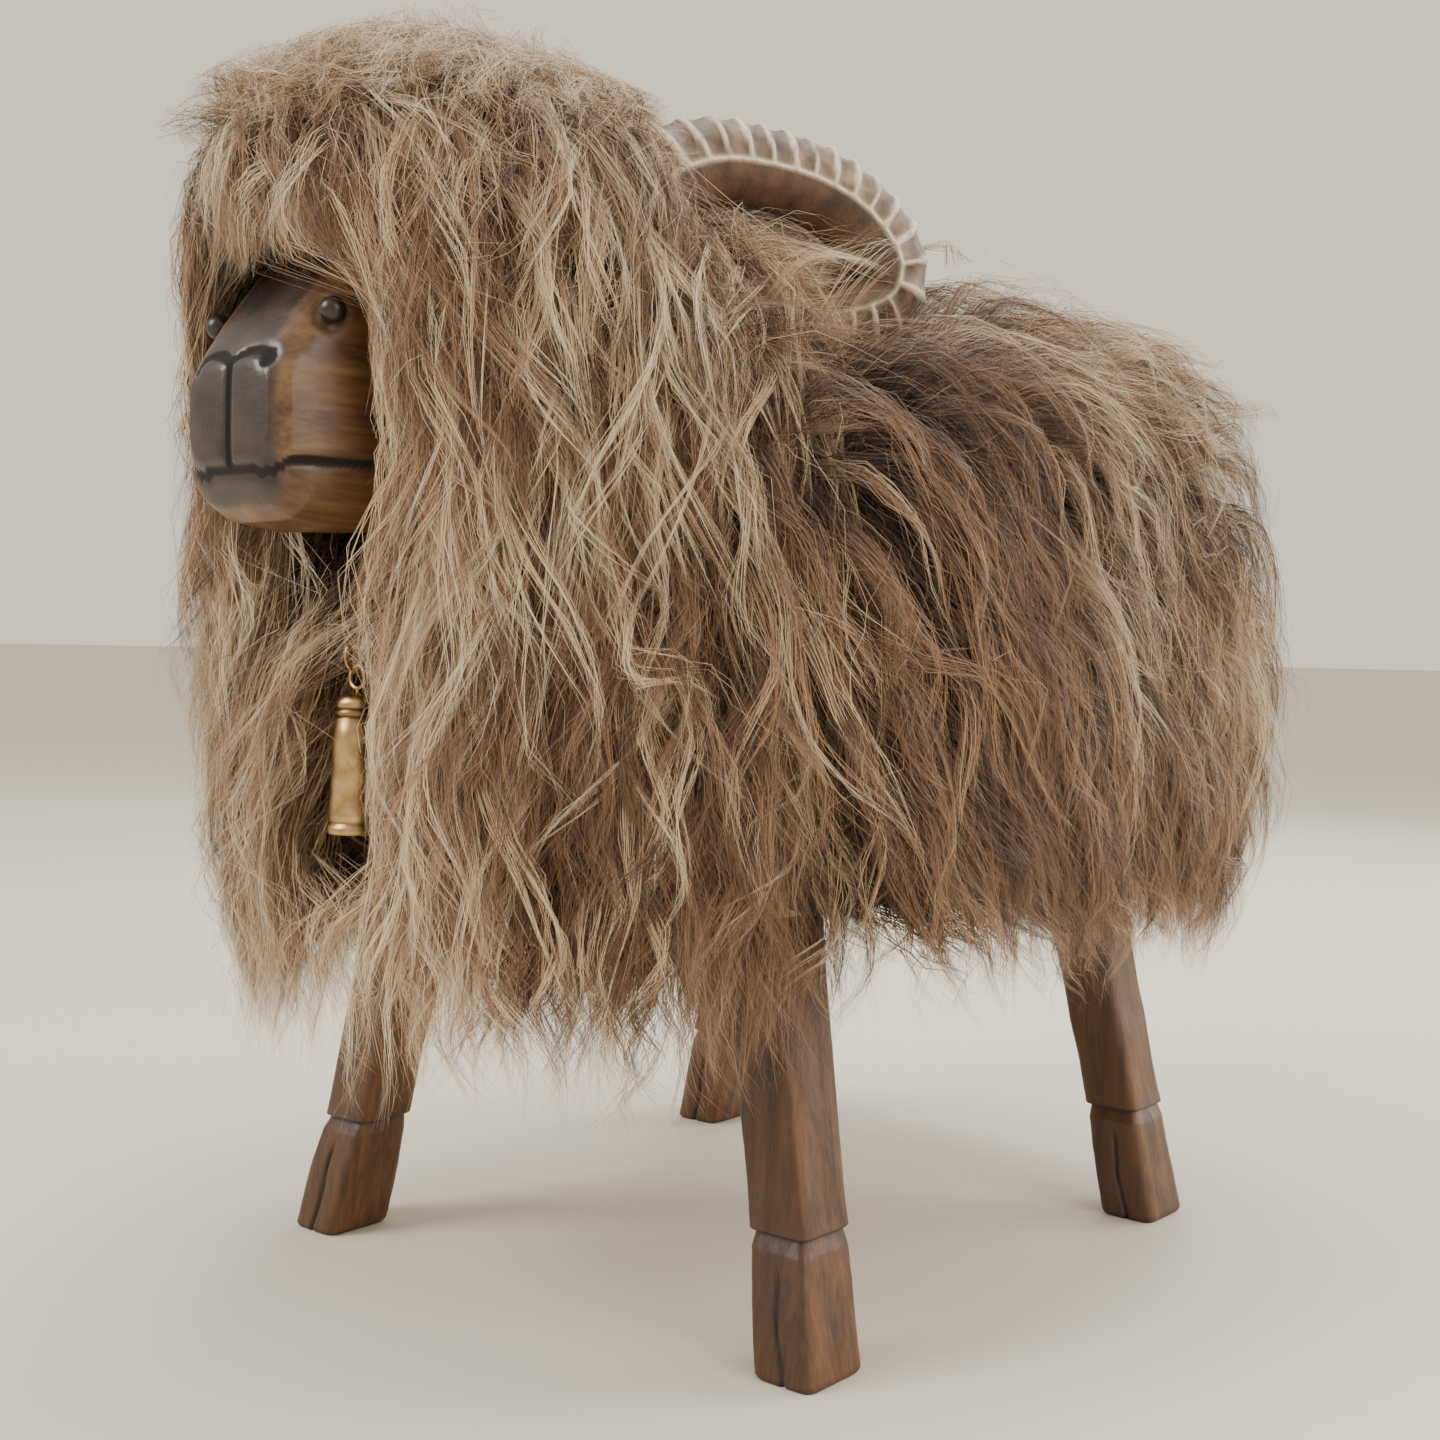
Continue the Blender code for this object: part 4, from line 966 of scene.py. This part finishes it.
# ---- metal and leather ----
def make_bell(surface):
    """A tall tapered bell, turned, with rings near its crown and a bead at its mouth."""
    low, high = (np.array(v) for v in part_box("bell"))
    middle = (low + high) / 2
    top, mouth = high[2], low[2]
    tall = top - mouth

    def at(share):
        return mouth + tall * share

    outside = [
        (0.0014, top), (0.0040, top - 0.0003), (0.0062, top - 0.0013), (0.0074, top - 0.0034),
        (0.0075, at(0.900)), (0.0071, at(0.892)), (0.0071, at(0.878)), (0.0077, at(0.870)),
        (0.0077, at(0.846)), (0.0072, at(0.838)), (0.0072, at(0.824)), (0.0078, at(0.816)),
        (0.0082, at(0.680)), (0.0087, at(0.500)), (0.0092, at(0.300)), (0.0098, at(0.140)),
        (0.0099, at(0.100)), (0.0096, at(0.092)), (0.0097, at(0.074)), (0.0103, at(0.066)),
        (0.0105, at(0.030)), (0.0104, at(0.006)), (0.0100, mouth),
    ]
    inside = [
        (0.0094, mouth), (0.0090, at(0.05)), (0.0084, at(0.30)), (0.0076, at(0.60)),
        (0.0067, at(0.84)), (0.0060, top - 0.0030), (0.0046, top - 0.0022), (0.0014, top - 0.0014),
    ]
    mesh = turned_mesh("turned_bell", outside + inside, 72)
    shift = Matrix.Translation((middle[0], middle[1], 0.0))
    mesh.transform(shift)
    heights = np.array([v.co.z for v in mesh.vertices])
    reach = np.array([math.hypot(v.co.x - middle[0], v.co.y - middle[1]) for v in mesh.vertices])
    groove = bump(heights, at(0.885), 0.0009) + bump(heights, at(0.831), 0.0009)
    groove = groove + bump(heights, at(0.083), 0.0008)
    hollow = (reach < 0.0070 + 0.0024 * (top - heights) / tall) * smooth((top - 0.001 - heights) / 0.002)
    layer = mesh.attributes.new("dark", "FLOAT", "POINT")
    layer.data.foreach_set("value", np.clip(0.8 * groove + 0.6 * hollow, 0, 1).astype(np.float32))
    return add_piece(mesh, surface, "bell", replaces=("bell",))


def make_collar(surface):
    """The neck strap with rounded edges and two sewn lines, over its CAD node."""
    low, high = (np.array(v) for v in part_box("collar_strap"))
    turn = np.array(Matrix.Rotation(COLLAR_TILT, 3, "X"))
    half_x = (high[0] - low[0]) / 2 - COLLAR_THICK / 2
    rings = []
    around, count = 240, 28
    for i in range(around):
        angle = 2 * math.pi * i / around
        c, s = math.cos(angle), math.sin(angle)
        out = unit(np.array([COLLAR_HALF_Y * c, half_x * s, 0.0]))
        a, b = superellipse(COLLAR_THICK / 2, COLLAR_WIDE / 2, 5.0, count)
        stitch = bump(b, -STITCH_AT, 0.00045) + bump(b, STITCH_AT, 0.00045)
        a = a - np.sign(a) * 0.00022 * (stitch * (0.6 + 0.4 * math.sin(i * 1.9)))
        middle = np.array([half_x * c, COLLAR_HALF_Y * s, 0.0])
        local = middle + out * a[:, None] + np.array([0, 0, 1.0]) * b[:, None]
        rings.append(COLLAR_CENTRE + local @ turn.T)
    mesh = ring_mesh("sewn_collar", rings, closed=True)
    return add_piece(mesh, surface, replaces=("collar_strap",))


# ---- stuffing and hide ----
def outline_rings(levels, power, grow, count, seed):
    rings = []
    for height, half_x, front, back in levels:
        a, b = superellipse(half_x + grow, (back - front) / 2 + grow, power, count)
        ring = np.stack([a, (front + back) / 2 + b, np.full(count, height)], axis=-1)
        rings.append(ring)
    rings = np.array(rings)
    soft = ripples(rings, 0.07, seed)
    push = unit(rings * np.array([1, 1, 0]) - np.array([0, 0.036, 0]))
    return rings + push * (0.0006 * soft)[..., None]


PAD_LEVELS = (
    (0.1880, 0.1322, -0.1222, 0.1922), (0.1950, 0.1365, -0.1265, 0.1965), (0.2150, 0.1410, -0.1310, 0.2010),
    (0.2450, 0.1425, -0.1325, 0.2025), (0.2900, 0.1425, -0.1325, 0.2025), (0.3120, 0.1395, -0.1290, 0.1990),
    (0.3300, 0.1320, -0.1210, 0.1910), (0.3440, 0.1160, -0.1050, 0.1750), (0.3530, 0.0880, -0.0800, 0.1480),
    (0.3575, 0.0480, -0.0400, 0.1100), (0.3580, 0.0100, 0.0100, 0.0600),
)
BOX_GAP, LID_GAP = 0.0008, 0.0006   # between the seat box and the stuffing, beside it and above it
HIDE_LEVELS = (
    (0.1644, 0.1135, -0.1035, 0.1735), (0.1642, 0.1200, -0.1100, 0.1800), (0.1644, 0.1290, -0.1190, 0.1890),
    (0.1680, 0.1335, -0.1235, 0.1935), (0.1800, 0.1352, -0.1252, 0.1952),
)


def make_padding(surface):
    """The stuffing over the seat box: sides that belly out, a rounded top, and a hollow for the box."""
    count = 128
    low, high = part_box("top_board")
    front, back = low[1] - BOX_GAP, high[1] + BOX_GAP
    outer = outline_rings(PAD_LEVELS, 7.0, 0.0, count, 17)
    bottom, roof = PAD_LEVELS[0][0], high[2] + LID_GAP
    a, b = superellipse(high[0] + BOX_GAP, (back - front) / 2, 40.0, count)
    wall = [np.stack([a, (front + back) / 2 + b, np.full(count, z)], axis=-1) for z in (roof, bottom)]
    centre = np.array([0, (front + back) / 2, roof])
    ceiling = [centre + (wall[0] - centre) * share for share in (0.02, 0.5, 0.97)]
    rings = np.concatenate([np.array(ceiling + wall), outer])
    mesh = ring_mesh("seat_stuffing", rings)
    piece = add_piece(mesh, surface, replaces=("body_padding",))
    return piece


def make_seat_hide(surface):
    """The sheepskin's leather, stretched over the stuffing and turned under the seat board's edge."""
    count = 128
    upper = [(z + 0.0012, x, f, b) for z, x, f, b in PAD_LEVELS[1:]]
    rings = np.concatenate([
        outline_rings(HIDE_LEVELS, 9.0, 0.0, count, 17), outline_rings(upper, 7.0, 0.0022, count, 17)
    ])
    n = len(rings)
    i, j = np.meshgrid(np.arange(n - 1), np.arange(count), indexing="ij")
    right = (j + 1) % count
    row, above = i * count, (i + 1) * count
    quads = np.stack([row + j, row + right, above + right, above + j], axis=-1)
    mesh = quads_mesh("seat_hide", rings.reshape(-1, 3), quads.reshape(-1, 4))
    with editing(mesh) as work:
        rim = sorted((v for v in work.verts if v.index >= (n - 1) * count), key=lambda v: v.index)
        work.faces.new(rim)
        bmesh.ops.triangulate(work, faces=[f for f in work.faces if len(f.verts) > 4])
        bmesh.ops.recalc_face_normals(work, faces=work.faces)
        area = sum(f.calc_area() for f in work.faces)
    piece = add_piece(mesh, surface)
    thicken = piece.modifiers.new("thicken", "SOLIDIFY")
    thicken.thickness = 0.0009
    thicken.offset = -1.0
    return piece


def make_neck_padding(surface):
    """The stuffed neck and poll under the mane, as one rounded form."""
    mesh = bpy.data.meshes.new("neck_stuffing")
    with editing(mesh) as work:
        for centre, half, power in (
            ((0.0, -0.100, 0.262), (0.090, 0.074, 0.090), 2.6),
            ((0.0, -0.118, 0.350), (0.072, 0.058, 0.070), 2.3),
            ((0.0, -0.150, 0.405), (0.053, 0.056, 0.046), 2.2),
        ):
            made = bmesh.ops.create_uvsphere(work, u_segments=48, v_segments=32, radius=1.0)["verts"]
            for vert in made:
                way = vert.co.normalized()
                reach = sum(abs(way[i]) ** power for i in range(3)) ** (-1 / power)
                vert.co = Vector([centre[i] + half[i] * reach * way[i] for i in range(3)])
    piece = add_piece(mesh, surface, replaces=("throat_padding",))
    remesh = piece.modifiers.new("remesh", "REMESH")
    remesh.mode = "VOXEL"
    remesh.voxel_size = 0.004
    relax = piece.modifiers.new("relax", "SMOOTH")
    relax.iterations = 12
    return piece


# ---- wool of each part ----
# hair: hairs in a lock, spread, wave, frizz, clump, share of loose hairs, width
UNDER_HAIR = (9, 0.010, 0.003, 0.0016, 0.2, 0.3, 1.4)
WISP_HAIR = (3, 0.010, 0.008, 0.0026, 0.0, 0.6, 0.6)
# wool on the seat: piece, locks, length, lift, wander, tones, hair
BODY_WOOL = (
    ("wool_body", 2720, (0.085, 0.155), (0.004, 0.038), 0.24, ("mixed", 0.26, 0.24),
     (32, 0.0080, 0.0055, 0.0012, 0.86, 0.12, 1.0)),
    ("wool_body_streaks", 360, (0.120, 0.180), (0.030, 0.042), 0.34, ("even", 0.80, 0.98),
     (30, 0.0050, 0.0075, 0.0008, 0.92, 0.06, 1.0)),
    ("wool_body_under", 2400, (0.030, 0.055), (0.000, 0.006), 0.24, ("even", 0.02, 0.20), UNDER_HAIR),
    ("wool_body_wisps", 2600, (0.060, 0.110), (0.028, 0.042), 0.40, ("even", 0.40, 0.95),
     (3, 0.010, 0.007, 0.0022, 0.0, 0.6, 0.6)),
)
# wool on neck, head and nape: the same, with the place after the piece
MANE_WOOL = [
    ("wool_neck", "neck", 1620, (0.080, 0.150), (0.003, 0.038), 0.28, ("mixed", 0.20, 0.40),
     (30, 0.0078, 0.0056, 0.0013, 0.86, 0.12, 1.0)),
    ("wool_head", "head", 1500, (0.070, 0.165), (0.003, 0.038), 0.28, ("mixed", 0.30, 0.22),
     (32, 0.0070, 0.0060, 0.0014, 0.86, 0.12, 1.0)),
    ("wool_nape", "nape", 620, (0.045, 0.090), (0.004, 0.030), 0.28, ("mixed", 0.22, 0.30),
     (30, 0.0075, 0.0050, 0.0014, 0.86, 0.12, 1.0)),
    ("wool_head_streaks", "head", 210, (0.130, 0.230), (0.026, 0.044), 0.34, ("even", 0.84, 1.0),
     (34, 0.0055, 0.0085, 0.0007, 0.93, 0.05, 1.0)),
    ("wool_neck_streaks", "neck", 180, (0.110, 0.190), (0.030, 0.042), 0.34, ("even", 0.78, 1.0),
     (28, 0.0050, 0.0085, 0.0007, 0.93, 0.05, 1.0)),
]
for place, count in (("neck", 1500), ("head", 1500), ("nape", 700)):
    MANE_WOOL += [
        (f"wool_{place}_under", place, count, (0.025, 0.050), (0.000, 0.005), 0.28, ("even", 0.02, 0.20),
         UNDER_HAIR),
        (f"wool_{place}_wisps", place, count, (0.055, 0.105), (0.026, 0.044), 0.46, ("even", 0.45, 0.97),
         WISP_HAIR),
    ]
CROWN_HAIR = (34, 0.0090, 0.0055, 0.0020, 0.55, 0.35, 0.8)


def tones(rng, lift, sort, low, high):
    """A tone for each lock. Mixed ones have a share of pale and one of dark locks, and the locks deep
    in the wool are darker, as painted shade; even ones lie anywhere between two tones."""
    count = len(lift)
    if sort == "even":
        return rng.uniform(low, high, count)
    pale_share, dark_share = low, high
    kind = rng.uniform(0, 1, count)
    mid = rng.uniform(0.30, 0.62, count)
    pale = rng.uniform(0.68, 0.98, count)
    dark = rng.uniform(0.03, 0.22, count)
    tone = np.where(kind < pale_share, pale, np.where(kind > 1 - dark_share, dark, mid))
    # painted shade: locks with little lift, deep in the wool, are darker
    return tone * (0.50 + 0.50 * smooth(lift / lift.max() * 1.4))


def patches(p, seed):
    """Tall patches, 0 to 1, where the wool lies open and dark or closes over pale."""
    p = p * np.array([1.0, 1.0, 0.45])
    return np.clip(0.5 + 1.6 * ripples(p, 0.045, seed) + 0.7 * ripples(p, 0.018, seed + 1), 0.0, 1.0)


def body_tone(locks, tone):
    """Painted shade where the mane overhangs the seat and near the lower edge, and painted light over the
    rump.
    """
    p = locks[:, 2 * STEPS // 3]
    side = smooth((np.abs(p[:, 0]) - 0.09) / 0.04)
    # painted shade where the mane overhangs the seat
    shade_under_mane = bump(p[:, 1], -0.045, 0.050) * side * smooth((0.37 - p[:, 2]) / 0.05)
    # painted shade towards the lower edge
    low = smooth((0.225 - p[:, 2]) / 0.05)
    # painted light over the rump
    rump = smooth((p[:, 1] - 0.12) / 0.06)
    tone = tone * (0.66 + 0.62 * patches(p, 51)) * (1 - 0.78 * shade_under_mane) * (1 - 0.60 * low)
    return np.clip(tone + 0.08 + 0.08 * rump, 0.02, 0.99)


def mane_tone(locks, tone, patchy):
    """Paler and more even over the chest, partly its own warm brown and partly painted light; painted shade,
    in patches, on the sides below the poll.
    """
    p = locks[:, 2 * STEPS // 3]
    wide = smooth((np.abs(p[:, 0]) - 0.045) / 0.03)
    # the chest: partly its own warm brown, partly painted light
    chest = smooth((-0.165 - p[:, 1]) / 0.03) * smooth((0.31 - p[:, 2]) / 0.03) * (1 - wide)
    # painted shade on the sides below the poll
    side = wide * smooth((0.38 - p[:, 2]) / 0.05)
    if patchy:
        tone = tone * (1 - side * (1 - 0.55 * patches(p, 61))) * (1 - 0.35 * chest)
    high = smooth((p[:, 2] - 0.37) / 0.04)
    return np.clip(tone + 0.46 * chest + 0.08 * high, 0.02, 0.99)


def add_hairs(rng, name, locks, normals, tone, hair, outline, power, slack, tests, surface):
    """The hairs of some locks, held in the outline and cut where a place stays open."""
    *look, width = hair
    hairs, out, tone = hairs_from(rng, locks, normals, tone, *look)
    hairs = hold_in(outline, power, hairs, slack)
    return wool(rng, name, *clear_hairs(hairs, out, tone, *tests), surface, HAIR_WIDTH * width)


def body_comb(p, t):
    """Back and down along the sides, back and outward over the seat."""
    x, y = p[..., 0], p[..., 1]
    out, _ = core_out(BODY_CORE, p)
    top = smooth((out[..., 2] - 0.2) / 0.6)
    return unit(np.stack([
        np.sign(x) * (0.12 + 0.3 * top) + 2.0 * x * top,
        0.42 + 0.50 * top - 0.42 * smooth((y - 0.16) / 0.06) * (1 - top),
        -0.95 + 0.70 * top - 0.25 * t,
    ], axis=-1))


def body_floor(locks):
    """How low the seat's wool hangs: a little lower at the back corners."""
    y = locks[:, -1, 1]
    return 0.122 - 0.014 * smooth((y - 0.10) / 0.12)


def make_body_wool(surface):
    rng = np.random.default_rng(11)

    def keep(p):
        edge = -0.100 + 0.35 * (0.36 - p[:, 2])
        return (p[:, 2] > 0.166) & ((p[:, 1] > edge - 0.05) | (np.abs(p[:, 0]) < 0.10))

    made = []
    for name, count, length, lift, wander, tone, hair in BODY_WOOL:
        roots, normals = core_roots(rng, BODY_CORE, count, 0.166, keep)
        top = smooth((normals[:, 2] - 0.3) / 0.5)
        length = rng.uniform(*length, count) * (1 - 0.10 * top)
        lift = rng.uniform(*lift, count) * (1 + 0.35 * top)
        locks = grow(rng, roots, normals, length, lift, body_comb, [BODY_CORE], BODY_OUTLINE, BODY_POWER,
                     wander)
        locks = trim_below(rng, locks, body_floor(locks), 0.018)
        tone = body_tone(locks, tones(rng, lift, *tone))
        made += add_hairs(rng, name, locks, normals, tone, hair, BODY_OUTLINE, BODY_POWER, 1.05,
                          (horn_blocked,), surface)
    return made


def away_from(p, y):
    """The level direction out from an upright line that stands in the middle plane at y."""
    return unit(np.stack([p[..., 0], p[..., 1] - y, np.zeros(p.shape[:-1])], axis=-1))


def neck_comb(p, t):
    """Down and a little outward along the neck."""
    flow = away_from(p, -0.10) * 0.18
    flow[..., 2] -= 0.95 + 0.35 * t
    return unit(flow)


def head_comb(p, t):
    """Out from the crown over the forehead and cheeks, then down."""
    high = smooth((p[..., 2] - 0.375) / 0.06)
    flow = away_from(p, CROWN_Y) * (0.16 + 0.85 * high * (1 - t) ** 1.2)[..., None]
    flow[..., 2] -= 0.30 + 0.60 * (1 - high) + 0.95 * t
    return unit(flow)


def mane_floor(locks):
    """How low the mane hangs: lowest in front and on the sides."""
    return 0.092 + 0.034 * smooth((locks[:, -1, 1] + 0.11) / 0.06)


def make_mane_wool(surface):
    rng = np.random.default_rng(23)
    made = []
    tests = (face_blocked, bell_blocked, horn_blocked)

    def keep_neck(p):
        face = (np.abs(p[:, 0]) < 0.034) & (p[:, 2] > 0.285) & (p[:, 1] < -0.16)
        return (p[:, 1] < -0.062) & (p[:, 2] > 0.172) & ~face

    def keep_nape(p):
        return (p[:, 2] > 0.350) & (p[:, 1] > -0.105)

    def nape_comb(p, t):
        """Back and a little outward, up at first and then down."""
        x = p[..., 0]
        return unit(np.stack([
            np.sign(x) * 0.35, np.full(x.shape, 0.75), np.full(x.shape, 0.25 - 0.9 * t)
        ], axis=-1))

    def keep_head(p):
        face = (np.abs(p[:, 0]) < 0.036) & (p[:, 2] < 0.402) & (p[:, 1] < -0.180)
        return (p[:, 2] > 0.350) & ~face

    places = {
        "neck": (NECK_CORE, keep_neck, neck_comb, 0.172, MANE_OUTLINE),
        "head": (HEAD_CORE, keep_head, head_comb, 0.350, MANE_OUTLINE),
        "nape": (NAPE_CORE, keep_nape, nape_comb, 0.330, NAPE_OUTLINE),
    }
    for name, place, count, length, lift, wander, tone, hair in MANE_WOOL:
        core, keep, comb, z_low, outline = places[place]
        roots, normals = core_roots(rng, core, count, z_low, keep)
        length = rng.uniform(*length, count)
        lift = rng.uniform(*lift, count)
        locks = grow(rng, roots, normals, length, lift, comb, [NECK_CORE, HEAD_CORE], outline, MANE_POWER,
                     wander)
        locks = hold_in(outline, MANE_POWER, open_bell(open_face(locks)), 0.97)
        locks = trim_below(rng, locks, mane_floor(locks), 0.020)
        tone = mane_tone(locks, tones(rng, lift, *tone), "streaks" not in name)
        made += add_hairs(rng, name, locks, normals, tone, hair, outline, MANE_POWER, 1.05, tests, surface)

    def keep_crown(p):
        return (p[:, 2] > 0.425) & (p[:, 1] < -0.115)

    def crown_comb(p, t):
        """Up, then out and forward over the brow."""
        flow = away_from(p, CROWN_Y) * (0.5 + 0.8 * t)
        flow[..., 1] -= 0.45
        flow[..., 2] += 0.85 - 1.35 * t
        return unit(flow)

    roots, normals = core_roots(rng, HEAD_CORE, 460, 0.420, keep_crown)
    lift = rng.uniform(0.006, 0.034, len(roots))
    length = rng.uniform(0.045, 0.095, len(roots))
    locks = grow(rng, roots, normals, length, lift, crown_comb, [HEAD_CORE], CROWN_OUTLINE, MANE_POWER, 0.40)
    tone = rng.uniform(0.45, 0.95, len(locks))
    made += add_hairs(rng, "wool_crown", locks, normals, tone, CROWN_HAIR, CROWN_OUTLINE, MANE_POWER, 1.06,
                      tests, surface)
    return made


# ---- stage ----
def make_stage():
    mesh = bpy.data.meshes.new("floor")
    with editing(mesh) as work:
        bmesh.ops.create_grid(work, x_segments=1, y_segments=1, size=60.0)
    floor = bpy.data.objects.new("floor", mesh)
    bpy.context.scene.collection.objects.link(floor)
    made, _, shader = nodes_of("floor_paper")
    shader.inputs["Base Color"].default_value = (0.69, 0.650, 0.550, 1)
    shader.inputs["Roughness"].default_value = 0.9
    mesh.materials.append(made)

    world = bpy.data.worlds.new("studio")
    bpy.context.scene.world = world
    world.use_nodes = True
    background = world.node_tree.nodes["Background"]
    background.inputs["Color"].default_value = (0.96, 0.885, 0.735, 1)
    background.inputs["Strength"].default_value = 1.06

    for name, place, size, power in (
        ("key", (-0.9, -1.7, 1.5), 1.0, 38),
        ("fill", (1.3, 1.7, 1.0), 1.4, 26),
        ("side", (1.9, -0.2, 1.1), 1.4, 16),
        ("top", (0.1, 0.3, 2.2), 1.2, 26),
        ("rim", (-0.6, 1.8, 1.3), 1.2, 14),
    ):
        lamp = bpy.data.lights.new(name, "AREA")
        lamp.energy = power
        lamp.size = size
        holder = bpy.data.objects.new(name, lamp)
        holder.location = place
        aim = Vector((0, 0, 0.25)) - Vector(place)
        holder.rotation_euler = aim.to_track_quat("-Z", "Y").to_euler()
        bpy.context.scene.collection.objects.link(holder)


def make_camera():
    """A level three-quarter view from the front left, at the animal's own height."""
    lens = bpy.data.cameras.new("camera")
    lens.lens = 46.25
    camera = bpy.data.objects.new("camera", lens)
    right = Vector((0.7745, 0.6323, 0.0183)).normalized()
    ahead = Vector((-0.6314, 0.7745, -0.0381)).normalized()
    up = right.cross(ahead).normalized()
    turn = Matrix((right, up, -ahead)).transposed().to_4x4()
    camera.matrix_world = Matrix.Translation((0.5134, -0.6260, 0.2584)) @ turn
    bpy.context.scene.collection.objects.link(camera)
    bpy.context.scene.camera = camera


def finish_cad_nodes(surfaces):
    """Every CAD node that still shows takes one of the scene's own materials, by its slot."""
    slots = {
        "frame_wood": ("board", "bulkhead", "neck_post", "dowel", "wedge", "head_pin"),
        "brass": ("tack", "collar_loop", "bell_ring", "bell_hanger", "clapper"),
        "steel": ("screw",),
    }
    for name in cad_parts:
        thing = bpy.data.objects.get(name)
        if thing is None or thing.hide_render:
            continue
        for slot, words in slots.items():
            if any(word in name for word in words):
                for place in thing.material_slots:
                    place.material = surfaces[slot]


make_camera()
make_stage()
brass = metal_material(
    "brass_aged", (0.360, 0.225, 0.090), (0.600, 0.415, 0.200), 0.28, (0.10, 0.055, 0.025)
)
steel = metal_material("steel_zinc", (0.42, 0.42, 0.44), (0.62, 0.62, 0.64), 0.36, (0.10, 0.10, 0.11))
finish_cad_nodes({"frame_wood": frame_wood_material(), "brass": brass, "steel": steel})

leg_surface = stained_wood_material()
for name, side, end in LEGS:
    make_leg(name, side, end, leg_surface)
make_head(head_wood_material())
eye_surface = glass_material()
horn_surface = horn_material()
for word, side in SIDES:
    make_eye(word, side, eye_surface)
    make_horn(word, side, horn_surface)
make_bell(brass)
make_collar(leather_material())

cloth = cloth_material()
make_padding(cloth)
hide = hide_material()
make_seat_hide(hide)
make_neck_padding(hide)

wool_surface = wool_material()
body_wool = make_body_wool(wool_surface)
mane_wool = make_mane_wool(wool_surface)
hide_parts("fleece_body")
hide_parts("fleece_mane")
